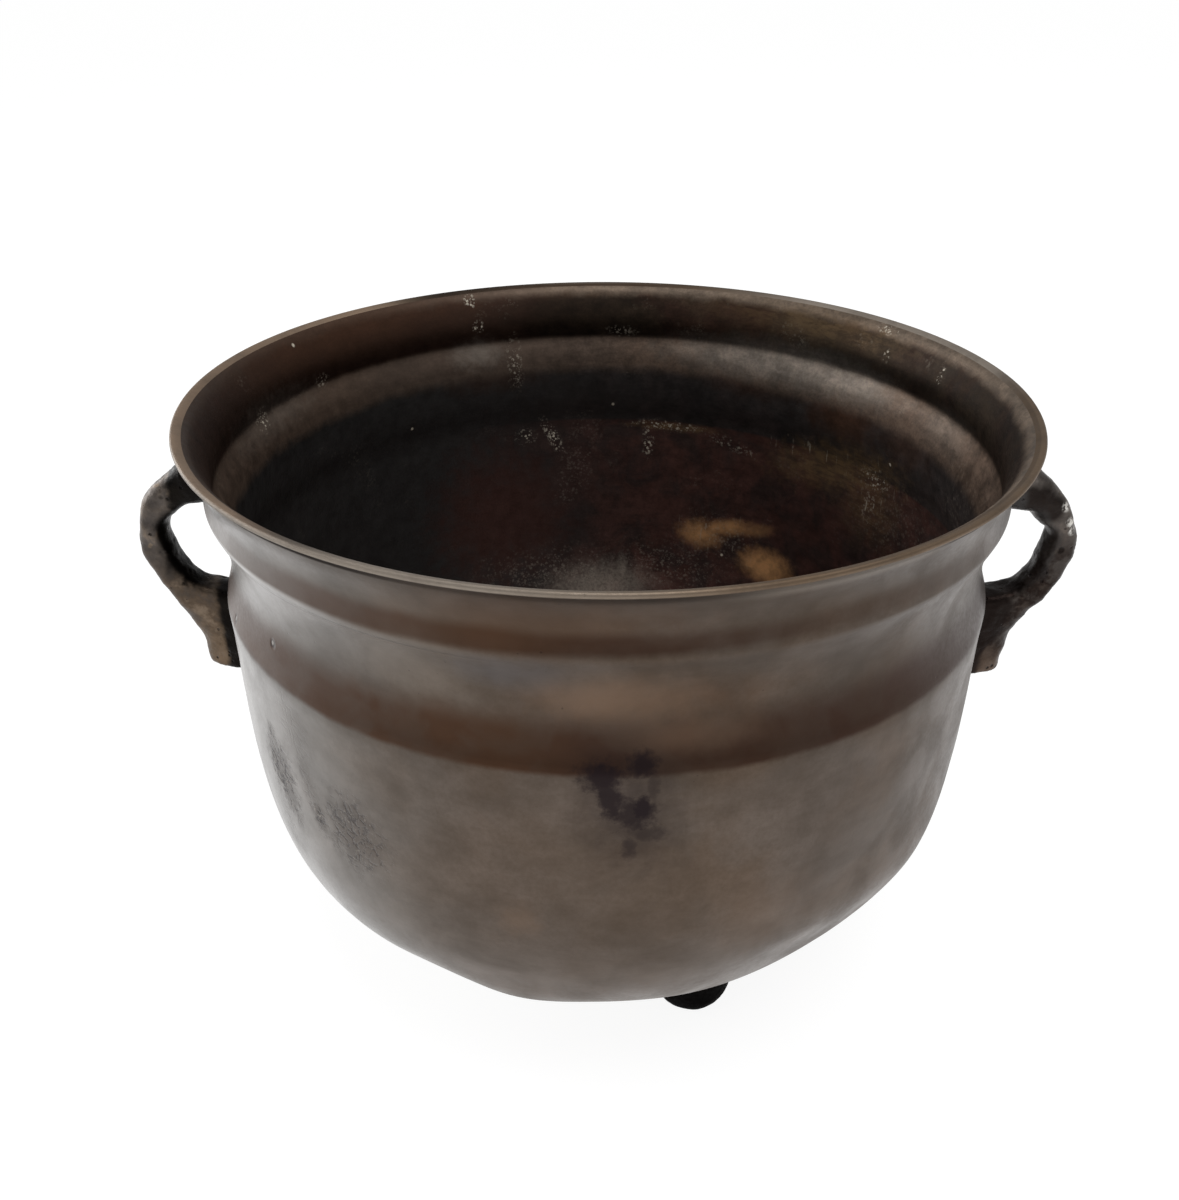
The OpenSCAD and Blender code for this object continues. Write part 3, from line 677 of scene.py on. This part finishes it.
@dataclass(frozen=True)
class CastSkin:
    """The finish of a rough casting: dark skin with brown wear and a painted highlight on whatever stands proud, and
    painted shade near the bowl.
    """

    name: str
    skin: Colour = srgb(62, 52, 46)
    worn: Colour = srgb(112, 92, 72)
    deep: Colour = srgb(28, 22, 20)
    gloss: float = 0.42
    metal: float = 1.0
    shine: float = 0.5
    soot: float = 0.0
    soot_low: float = 118.0
    arm_soot: float = 131.0
    leg_soot: float = 120.0
    brown: Colour = srgb(104, 88, 72)
    brown_below: float = 140.0
    toe: Colour = srgb(108, 90, 73)
    toe_top: float = 114.0
    low_wear: float = 1.0
    loop_soot: float = 1.0
    loop_dull: float = 0.0
    knee_soot: float = 0.0
    glints: tuple[tuple[float, float, float], ...] = ()
    sores: tuple[tuple[float, float, float], ...] = ()
    shadow_spots: tuple[tuple[float, float, float], ...] = ()

    def facing_out(self, n: Nodes, normal: bpy.types.NodeSocket) -> bpy.types.NodeSocket:
        """Return 1 where the skin faces away from the bowl, and 0 where it faces the bowl."""
        dot = n.tree.nodes.new("ShaderNodeVectorMath")
        dot.operation = "DOT_PRODUCT"
        n.tree.links.new(normal, dot.inputs[0])
        n.tree.links.new(n.stretched(1.0, 1.0, 0.0), dot.inputs[1])
        return n.span(n.math("DIVIDE", dot.outputs["Value"], n.ring()), -0.55, 0.05)

    def make(self) -> bpy.types.Material:
        """Return the material."""
        n = Nodes(self.name)
        lumps = n.cloud(7.0, 5.0, 0.6)
        grain = n.cloud(1.6, 5.0, 0.7)
        spots, _ = n.cells(3.6)
        pits = n.math("MULTIPLY", n.span(spots, 0.2, 0.08), n.span(lumps, 0.45, 0.6))
        for centre in self.sores:
            pits = n.math("MAXIMUM", pits, n.near(centre, 0.5, 1.4))
        geometry = n.tree.nodes.new("ShaderNodeNewGeometry")
        edge = n.span(geometry.outputs["Pointiness"], 0.5, 0.55)
        low = n.span(n.z, self.brown_below * MM, (self.brown_below - 25) * MM)
        # Edges and lumps go lighter: partly wear, partly a painted highlight on the edges.
        worn = n.math("MAXIMUM", n.math("MULTIPLY", edge, 0.9), n.span(lumps, 0.5, 0.7, 0.0, 0.7))
        worn = n.math("MULTIPLY", worn, n.span(low, 0.0, 1.0, 1.0, self.low_wear))
        colour = n.mix(n.math("MULTIPLY", low, n.span(lumps, 0.35, 0.55, 0.5, 1.0)), self.skin, self.brown)
        colour = n.mix(worn, colour, self.worn)
        toe = n.span(n.z, self.toe_top * MM, (self.toe_top - 16) * MM, 0.0, 0.85)
        colour = n.mix(n.math("MULTIPLY", toe, n.span(lumps, 0.35, 0.55, 0.6, 1.0)), colour, self.toe)
        for noise_value, dark, light in ((lumps, 0.7, 1.25), (grain, 0.82, 1.16)):
            colour = n.mix(1.0, colour, n.mix(n.span(noise_value, 0.3, 0.7), (dark,) * 3, (light,) * 3), "MULTIPLY")
        colour = n.mix(n.math("MULTIPLY", pits, 0.85), colour, self.deep)
        # Painted shade: the skin turns to the deep colour where it lies close to the bowl or faces it.
        away = n.math("ADD", n.ring(), n.math("MULTIPLY_ADD", lumps, 3 * MM, -1.5 * MM))
        reach = n.span(n.z, self.soot_low * MM, 152 * MM, self.leg_soot * MM, self.arm_soot * MM)
        if self.knee_soot:
            knee = n.band(n.z, (97.0, 109.0), (116.0, 124.0))
            reach = n.math("ADD", reach, n.math("MULTIPLY", knee, self.knee_soot * MM))
        clear = n.math("MULTIPLY", n.span(n.math("SUBTRACT", away, reach), 0.0, 2.4 * MM),
                       self.facing_out(n, geometry.outputs["Normal"]))
        hidden = n.math("SUBTRACT", 1.0, clear)
        sooty = n.math("MULTIPLY", n.span(n.z, 118 * MM, 128 * MM, self.soot, self.soot * self.loop_soot), hidden)
        # Painted shadow at the given points, under the right handle's arm.
        for centre in self.shadow_spots:
            sooty = n.math("MAXIMUM", sooty, n.math("MULTIPLY", n.near(centre, 3.2, 6.2), 0.92))
        colour = n.mix(sooty, colour, self.deep)
        gloss = n.span(grain, 0.3, 0.7, self.gloss - 0.08, self.gloss + 0.12)
        for centre in self.glints:
            bright = n.math("MULTIPLY", n.near(centre, 0.6, 2.2), n.span(grain, 0.46, 0.54))
            colour = n.mix(bright, colour, (0.8, 0.77, 0.72))
        n.relief((lumps, 0.5), (grain, 0.14), (pits, -0.4))
        n.shader.inputs["Specular IOR Level"].default_value = self.shine
        if not self.loop_dull:
            return n.finish(colour, gloss, self.metal)
        # Less metal on the loop's faces that lie in the painted shade.
        dimmed_in_shade = n.math("MULTIPLY", n.span(n.z, 118 * MM, 128 * MM, 0.0, self.loop_dull), hidden)
        return n.finish(colour, gloss, n.math("MULTIPLY_ADD", dimmed_in_shade, -self.metal, self.metal))


@dataclass(frozen=True)
class Dent:
    """A place where the wall is pushed out of true, at an azimuth in degrees and a depth in millimetres."""

    azimuth: float
    depth: float
    wide: float
    tall: float
    push: float

    def at(self, azimuth: float, depth: float) -> float:
        """Return how far the wall moves towards the axis at a place, in millimetres."""
        turn = (azimuth - self.azimuth + 180) % 360 - 180
        return self.push * math.exp(-(turn / self.wide) ** 2 - ((depth - self.depth) / self.tall) ** 2)


@dataclass
class TurnedBowl:
    """The bowl, turned from one casting. Sizes are in millimetres, depths are below the lip."""

    rim: float = 120.0
    height: float = 171.5
    wall: float = 2.4
    lip_t: float = 1.5
    lip_h: float = 3.4
    neck: float = 117.9
    narrow: float = 113.9
    narrow_depth: float = 13.5
    ridge: float = 114.6
    ridge_depth: float = 19.5
    waist: float = 110.2
    waist_depth: float = 36.5
    shoulder: float = 113.4
    shoulder_depth: float = 51.5
    body: float = 112.9
    belly_power: float = 4.8
    bottom_power: float = 2.12
    flare_power: float = 1.6
    edge_round: float = 1.6
    inner_round: float = 4.5
    steps: int = 300
    dents: tuple[Dent, ...] = (
        Dent(-42.0, 111.0, 12.0, 12.0, -1.4),
        Dent(-57.0, 130.0, 14.0, 12.0, 2.5),
        Dent(-117.0, 139.0, 8.0, 8.0, 0.8),
        Dent(-128.0, 122.0, 20.0, 20.0, -1.2),
        Dent(-102.0, 138.0, 9.0, 8.0, -1.6),
    )
    total: float = field(init=False, default=0.0)

    def radius(self, depth: float) -> float:
        """Return the outer wall's radius at a depth, from the neck down."""
        if depth < self.narrow_depth:
            share = (self.narrow_depth - depth) / (self.narrow_depth - self.lip_h)
            return self.narrow + (self.neck - self.narrow) * share ** self.flare_power
        if depth < self.ridge_depth:
            share = (depth - self.narrow_depth) / (self.ridge_depth - self.narrow_depth)
            return self.narrow + (self.ridge - self.narrow) * share ** 2
        if depth < self.waist_depth:
            share = (self.waist_depth - depth) / (self.waist_depth - self.ridge_depth)
            return self.waist + (self.ridge - self.waist) * share ** 2
        if depth < self.shoulder_depth:
            share = (depth - self.waist_depth) / (self.shoulder_depth - self.waist_depth)
            return self.waist + (self.shoulder - self.waist) * share ** 2
        share = (depth - self.shoulder_depth) / (self.height - self.shoulder_depth)
        belly = self.body * max(0.0, 1 - share ** self.belly_power) ** (1 / self.bottom_power)
        edge = (self.shoulder - self.body) * max(0.0, 1 - (depth - self.shoulder_depth) / 7.0) ** 2
        return belly + edge

    def eased(self, depth: float, reach: float) -> float:
        """Return the outer wall's radius averaged over a reach of depths, which rounds its edges."""
        if depth > self.shoulder_depth + 20 or depth < self.lip_h + 1:
            return self.radius(depth)
        if depth < self.ridge_depth + 8:
            reach *= 0.4
        samples = [depth + reach * (k - 4) / 4 for k in range(9)]
        return sum(self.radius(max(t, self.lip_h)) for t in samples) / len(samples)

    def outer_profile(self) -> list[Vector]:
        """Return the outer wall's points from the neck to the bottom, as (radius, depth)."""
        marks = (self.lip_h, self.narrow_depth, self.ridge_depth, self.waist_depth, self.shoulder_depth)
        depths = [a + (b - a) * i / 12 for a, b in zip(marks, marks[1:]) for i in range(12)]
        depths += [self.shoulder_depth + (self.height - self.shoulder_depth) * math.sin(math.pi / 2 * i / 56)
                   for i in range(56)]
        return [Vector((self.eased(t, self.edge_round), t)) for t in depths] + [Vector((0.0, self.height))]

    def inner_profile(self, outer: list[Vector]) -> list[Vector]:
        """Return the inner wall's points, one wall's thickness inside the outer ones."""
        inner = []
        soft = [Vector((self.eased(point.y, self.inner_round), point.y)) for point in outer]
        for i, point in enumerate(soft[:-1]):
            run = (soft[i + 1] - soft[max(i - 1, 0)]).normalized()
            inner.append(point + Vector((-run.y, run.x)) * self.wall)
        return inner + [Vector((0.0, self.height - self.wall))]

    def lip_profile(self) -> list[Vector]:
        """Return the lip's points, from the neck outside, over the rounded edge, to the neck inside."""
        half = self.lip_t / 2
        edge = [Vector((self.rim - half + half * math.sin(a), half - half * math.cos(a)))
                for a in (math.radians(d) for d in (165, 140, 115, 90, 65, 40, 20, 5))]
        start, bend, end = edge[-1], Vector((117.4, 0.3)), self.inner_profile(self.outer_profile())[0]
        flare = [start.lerp(bend, t).lerp(bend.lerp(end, t), t) for t in (0.2, 0.4, 0.6, 0.8)]
        return edge + flare

    def out_of_true(self, azimuth: float, depth: float) -> float:
        """Return how far the wall is pushed in at a place, in millimetres."""
        around = Vector((math.cos(math.radians(azimuth)), math.sin(math.radians(azimuth)), depth / 70.0))
        waves = 0.18 * noise.noise(around * 2.3) + 0.06 * noise.noise(around * 9.0)
        return sum(dent.at(azimuth, depth) for dent in self.dents) + waves * min(1.0, depth / 12.0)

    def build(self) -> bpy.types.Object:
        """Spin the profile into the bowl and return its object."""
        low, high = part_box("bowl")
        self.total = high.z / MM
        outer = self.outer_profile()
        inner = self.inner_profile(outer)
        chain = list(reversed(outer)) + self.lip_profile() + inner
        bm = bmesh.new()
        verts = [bm.verts.new((p.x * MM, 0.0, (self.total - p.y) * MM)) for p in chain]
        edges = [bm.edges.new(pair) for pair in zip(verts, verts[1:])]
        bmesh.ops.spin(bm, geom=verts + edges, cent=(0, 0, 0), axis=(0, 0, 1), dvec=(0, 0, 0),
                       angle=2 * math.pi, space=Matrix.Identity(4), steps=self.steps, use_merge=True,
                       use_normal_flip=False, use_duplicate=False)
        bmesh.ops.remove_doubles(bm, verts=bm.verts, dist=1e-6)
        bmesh.ops.recalc_face_normals(bm, faces=bm.faces)
        for vert in bm.verts:
            radius = math.hypot(vert.co.x, vert.co.y)
            if radius < 1e-6:
                continue
            azimuth = math.degrees(math.atan2(vert.co.y, vert.co.x))
            push = self.out_of_true(azimuth, self.total - vert.co.z / MM) * MM
            scale = (radius - push * min(1.0, radius / 0.05)) / radius
            vert.co.x *= scale
            vert.co.y *= scale
        for face in bm.faces:
            centre = face.calc_center_median()
            faces_axis = face.normal.x * centre.x + face.normal.y * centre.y < 0
            up = face.normal.z > 0.3 and centre.z < self.total * MM - 0.06
            below_lip = centre.z < (self.total - 0.9) * MM
            face.material_index = 1 if (faces_axis or up) and below_lip else 0
            face.smooth = True
        mesh = bpy.data.meshes.new("turned_bowl")
        bm.to_mesh(mesh)
        bm.free()
        mesh.materials.append(OutsidePatina(self.total * MM).make())
        mesh.materials.append(InsidePatina(self.total * MM).make())
        bowl = bpy.data.objects.new("turned_bowl", mesh)
        bpy.context.scene.collection.objects.link(bowl)
        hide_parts("bowl")
        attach(bowl, "root")
        return bowl


@dataclass(frozen=True)
class Blow:
    """A chip, dent or lump on a casting: everything near centre moves by push, all in millimetres."""

    centre: tuple[float, float, float]
    reach: float
    push: tuple[float, float, float]


@dataclass
class Casting:
    """A rough casting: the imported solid's surface, made finer, then lumped, pitted and chipped."""

    node: str
    slot: str
    skin: CastSkin
    longest: float = 1.1
    softening: int = 4
    regained: float = 0.3
    facets: float = 0.9
    lumps: float = 0.35
    grain: float = 0.08
    blows: tuple[Blow, ...] = ()
    still_below: float = -1.0

    def refined(self, source: bpy.types.Mesh) -> bmesh.types.BMesh:
        """Return the solid's mesh with its seams closed and no edge longer than the longest."""
        bm = bmesh.new()
        bm.from_mesh(source)
        bmesh.ops.remove_doubles(bm, verts=bm.verts, dist=1e-6)
        for _ in range(7):
            long = [e for e in bm.edges if e.calc_length() > self.longest * MM]
            if not long:
                break
            bmesh.ops.subdivide_edges(bm, edges=long, cuts=1, use_grid_fill=True)
            bmesh.ops.triangulate(bm, faces=[f for f in bm.faces if len(f.verts) > 3])
        return bm

    def roughen(self, bm: bmesh.types.BMesh) -> None:
        """Move the skin in and out along its normals, and apply the blows."""
        bm.normal_update()
        moves = []
        for vert in bm.verts:
            place = vert.co / MM
            rise = self.regained + self.lumps * noise.noise(place / 6.0) + self.grain * noise.noise(place / 1.4)
            rise += self.facets * (noise.voronoi(place / 7.0)[0][0] - 0.45)
            pit = noise.noise(place / 2.2 + Vector((31.0, 7.0, 3.0)))
            rise -= 0.35 * max(0.0, pit - 0.42) * 2.0
            move = vert.normal * rise
            for blow in self.blows:
                away = (place - Vector(blow.centre)).length / blow.reach
                if away < 1:
                    move = move + Vector(blow.push) * (1 - away * away) ** 2
            if vert.co.z / MM <= self.still_below:
                move = Vector((move.x, move.y, 0.0)) * 0.3
            moves.append(move * MM)
        low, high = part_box(self.node)
        for vert, move in zip(bm.verts, moves):
            vert.co += move
            vert.co = [min(max(value, least), most) for value, least, most in zip(vert.co, low, high)]

    def build(self, nodes: dict[str, bpy.types.Object]) -> bpy.types.Object:
        """Make the casting in place of its node.

        Args:
            nodes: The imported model's objects by node name.

        Returns:
            The casting's object.
        """
        bm = self.refined(nodes[self.node].data)
        for _ in range(self.softening):
            bmesh.ops.smooth_vert(bm, verts=bm.verts, factor=0.5, use_axis_x=True, use_axis_y=True, use_axis_z=True)
        self.roughen(bm)
        for face in bm.faces:
            face.smooth = True
        mesh = bpy.data.meshes.new(f"{self.node}_casting")
        bm.to_mesh(mesh)
        bm.free()
        mesh.materials.append(self.skin.make())
        piece = bpy.data.objects.new(f"{self.node}_casting", mesh)
        bpy.context.scene.collection.objects.link(piece)
        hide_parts(self.node)
        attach(piece, "root")
        return piece


@dataclass(frozen=True)
class Brazing:
    """The brazes round the handles' and feet's seats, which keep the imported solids' shapes."""

    colour: Colour = srgb(66, 54, 45)
    dark: Colour = srgb(32, 26, 23)

    def dress(self, nodes: dict[str, bpy.types.Object]) -> list[str]:
        """Give every braze its finish.

        Args:
            nodes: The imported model's objects by node name.

        Returns:
            The names of the dressed nodes.
        """
        n = Nodes("brazing")
        lumps = n.cloud(2.5, 5.0, 0.65)
        colour = n.mix(n.span(lumps, 0.35, 0.65), self.dark, self.colour)
        n.relief((lumps, 0.2), (n.cloud(0.8, 3.0), 0.05))
        material = n.finish(colour, n.span(lumps, 0.3, 0.7, 0.55, 0.4))
        names = [name for name in nodes if name.endswith("_braze")]
        for name in names:
            mesh = nodes[name].data
            mesh.materials.clear()
            mesh.materials.append(material)
        return names


@dataclass
class PhotoCamera:
    """The camera at the photograph's place. Lengths in millimetres, angles in radians."""

    photo_width: int = 1179
    photo_height: int = 1200
    focal_px: float = 1113.467
    lip_distance: float = 326.784
    lip_elevation: float = 0.33681
    pitch_down: float = 0.52558
    yaw: float = -0.015945
    roll: float = -0.000964
    sensor: float = 36.0

    def build(self, lip_height: float) -> bpy.types.Object:
        """Place the camera.

        Args:
            lip_height: Height of the bowl's lip above the floor, in metres.

        Returns:
            The camera's object.
        """
        data = bpy.data.cameras.new("photo_camera")
        data.sensor_fit = "VERTICAL"
        data.sensor_height = self.sensor
        data.lens = self.focal_px / self.photo_height * self.sensor
        data.clip_start = 0.01
        data.clip_end = 100.0
        camera = bpy.data.objects.new("photo_camera", data)
        bpy.context.scene.collection.objects.link(camera)
        away = self.lip_distance * MM
        place = Vector((0.0, -away * math.cos(self.lip_elevation), lip_height + away * math.sin(self.lip_elevation)))
        ahead = Vector((math.sin(self.yaw) * math.cos(self.pitch_down),
                        math.cos(self.yaw) * math.cos(self.pitch_down), -math.sin(self.pitch_down)))
        right = ahead.cross(Vector((0, 0, 1))).normalized()
        up = right.cross(ahead)
        turned_right = right * math.cos(self.roll) + up * math.sin(self.roll)
        turned_up = up * math.cos(self.roll) - right * math.sin(self.roll)
        frame = Matrix((turned_right, turned_up, -ahead)).transposed().to_4x4()
        camera.matrix_world = Matrix.Translation(place) @ frame
        bpy.context.scene.camera = camera
        return camera


@dataclass
class Studio:
    """The white table that the pot stands on, the dim room round it, and two soft lamps."""

    table_size: float = 60.0
    table_colour: float = 0.9
    table_white: float = 1.16
    table_share: float = 0.78
    room_dark: float = 0.38
    room_top: float = 0.5

    def table(self) -> bpy.types.Object:
        """Return the table: white to the camera and in the metal, and shaded where the pot shades it."""
        bm = bmesh.new()
        bmesh.ops.create_grid(bm, x_segments=1, y_segments=1, size=self.table_size / 2)
        mesh = bpy.data.meshes.new("table")
        bm.to_mesh(mesh)
        bm.free()
        table = bpy.data.objects.new("table", mesh)
        bpy.context.scene.collection.objects.link(table)
        material = bpy.data.materials.new("white_table")
        material.use_nodes = True
        tree = material.node_tree
        tree.nodes.clear()
        diffuse = tree.nodes.new("ShaderNodeBsdfDiffuse")
        diffuse.inputs["Color"].default_value = (self.table_colour, self.table_colour, self.table_colour, 1.0)
        white = tree.nodes.new("ShaderNodeEmission")
        white.inputs["Strength"].default_value = self.table_white
        path = tree.nodes.new("ShaderNodeLightPath")
        seen = tree.nodes.new("ShaderNodeMath")
        seen.operation = "MAXIMUM"
        tree.links.new(path.outputs["Is Camera Ray"], seen.inputs[0])
        tree.links.new(path.outputs["Is Glossy Ray"], seen.inputs[1])
        through = tree.nodes.new("ShaderNodeMath")
        through.operation = "MAXIMUM"
        tree.links.new(seen.outputs[0], through.inputs[0])
        tree.links.new(path.outputs["Is Transmission Ray"], through.inputs[1])
        share = tree.nodes.new("ShaderNodeMath")
        share.operation = "MULTIPLY"
        share.inputs[1].default_value = self.table_share
        tree.links.new(through.outputs[0], share.inputs[0])
        mix = tree.nodes.new("ShaderNodeMixShader")
        tree.links.new(share.outputs[0], mix.inputs["Fac"])
        tree.links.new(diffuse.outputs[0], mix.inputs[1])
        tree.links.new(white.outputs[0], mix.inputs[2])
        output = tree.nodes.new("ShaderNodeOutputMaterial")
        tree.links.new(mix.outputs[0], output.inputs["Surface"])
        mesh.materials.append(material)
        return table

    def room(self) -> None:
        """Make the world: white at the table's level, dim above it, and brighter overhead."""
        world = bpy.data.worlds.new("room")
        bpy.context.scene.world = world
        world.use_nodes = True
        tree = world.node_tree
        coordinate = tree.nodes.new("ShaderNodeTexCoord")
        parts = tree.nodes.new("ShaderNodeSeparateXYZ")
        tree.links.new(coordinate.outputs["Generated"], parts.inputs[0])
        ramp = tree.nodes.new("ShaderNodeValToRGB")
        tree.links.new(parts.outputs["Z"], ramp.inputs["Fac"])
        stops = ramp.color_ramp.elements
        for stop, (place, value) in zip((stops[0], stops.new(0.06), stops.new(0.4), stops[-1]),
                                        ((0.0, 1.0), (0.06, self.room_dark), (0.4, self.room_dark), (0.75, self.room_top))):
            stop.position = place
            stop.color = (value, value, value, 1.0)
        background = tree.nodes["Background"]
        tree.links.new(ramp.outputs["Color"], background.inputs["Color"])

    def lamp(self, name: str, place: tuple[float, float, float], size: float, watts: float) -> bpy.types.Object:
        """Return a square soft lamp that faces the pot.

        Args:
            name: The lamp's name.
            place: Its place in metres.
            size: Its side in metres.
            watts: Its power.

        Returns:
            The lamp's object.
        """
        data = bpy.data.lights.new(name, "AREA")
        data.shape = "SQUARE"
        data.size = size
        data.energy = watts
        lamp = bpy.data.objects.new(name, data)
        bpy.context.scene.collection.objects.link(lamp)
        aim = Vector((0.0, 0.0, 0.1)) - Vector(place)
        lamp.matrix_world = Matrix.Translation(place) @ aim.to_track_quat("-Z", "Y").to_matrix().to_4x4()
        return lamp

    def build(self) -> None:
        """Build the table, the room and the lamps, and set the plain view."""
        self.table()
        self.room()
        self.lamp("window", (-1.45, 0.6, 0.48), 1.2, 16.0)
        self.lamp("top_light", (0.3, -0.5, 1.9), 1.0, 14.0)
        bpy.context.scene.view_settings.view_transform = "Standard"


def castings() -> list[Casting]:
    """Return the handles and feet with their own lumps and chips."""
    tones = {"skin": srgb(88, 82, 78), "worn": srgb(118, 104, 90), "deep": srgb(16, 14, 13), "soot": 0.97}
    left_skin = CastSkin("cast_handle_left", **tones, leg_soot=121.5, brown=srgb(84, 71, 59), toe=srgb(100, 84, 68), sores=((-133.6, -4.5, 151.9),))
    tones.update(skin=srgb(108, 101, 96), worn=srgb(106, 96, 88), deep=srgb(30, 24, 22), soot=0.9)
    right_skin = CastSkin("cast_handle_right", **tones, soot_low=94.0, leg_soot=119.5, arm_soot=124.0, knee_soot=5.5, loop_dull=0.7,
                          brown=srgb(34, 26, 23), brown_below=154.0, toe_top=105.0, low_wear=0.25, loop_soot=0.45,
                          shadow_spots=((122.0, -5.0, 153.0), (126.0, -5.0, 152.5), (130.0, -5.0, 152.0), (133.0, -5.0, 149.5)),
                          toe=srgb(96, 81, 70), sores=((138.9, -5.0, 135.8),),
                          glints=((138.0, -4.5, 150.0), (140.0, -4.5, 145.0), (141.2, -4.5, 142.3)))
    # The feet's near-black skin is painted shade: they stand in the bowl's shadow.
    foot_skin = CastSkin("sooty_foot", skin=srgb(11, 10, 10), worn=srgb(20, 17, 16), deep=srgb(7, 6, 6), brown=srgb(13, 11, 11),
                         toe=srgb(13, 11, 11), gloss=0.75, metal=0.0, shine=0.02)
    left = Casting("left_handle", "handle_bronze", left_skin, softening=8, blows=(
        Blow((-141.0, 0.0, 150.0), 12.0, (-1.4, 0.0, 0.4)),
        Blow((-144.0, 0.0, 133.0), 9.0, (-0.9, 0.0, 0.0)),
        Blow((-134.0, 0.0, 107.0), 15.0, (-1.8, 0.0, 0.0)),
        Blow((-129.0, 0.0, 96.0), 12.0, (-1.2, 0.0, 0.0)),
    ))
    right = Casting("right_handle", "handle_bronze", right_skin, softening=8, blows=(
        Blow((139.0, 0.0, 154.0), 14.0, (1.0, 0.0, -0.6)),
        Blow((134.0, 0.0, 147.0), 7.0, (-1.6, 0.0, -0.4)),
        Blow((144.5, 0.0, 137.0), 9.0, (0.8, 0.0, 0.0)),
        Blow((135.0, 0.0, 114.0), 6.0, (-0.9, 0.0, 0.3)),
    ))
    feet = [Casting(f"{name}_foot", "foot_bronze", foot_skin, softening=3, lumps=0.3, facets=0.0,
                    still_below=0.6)
            for name in ("front", "rear", "left")]
    return [left, right, *feet]


def main() -> None:
    """Build the scene, piece by piece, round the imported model."""
    logging.basicConfig(level=logging.INFO, format="%(name)s: %(message)s")
    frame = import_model()
    nodes = frame["nodes"]
    _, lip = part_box("bowl")
    PhotoCamera().build(lip.z)
    log.info("camera placed over the lip at %.1f mm", lip.z / MM)
    Studio().build()
    log.info("table, room and lamps built")
    bowl = TurnedBowl().build()
    log.info("%s: %d faces", bowl.name, len(bowl.data.polygons))
    for casting in castings():
        piece = casting.build(nodes)
        log.info("%s: %d faces", piece.name, len(piece.data.polygons))
    for name in Brazing().dress(nodes):
        log.info("%s dressed", name)


if __name__ == "__main__":
    main()
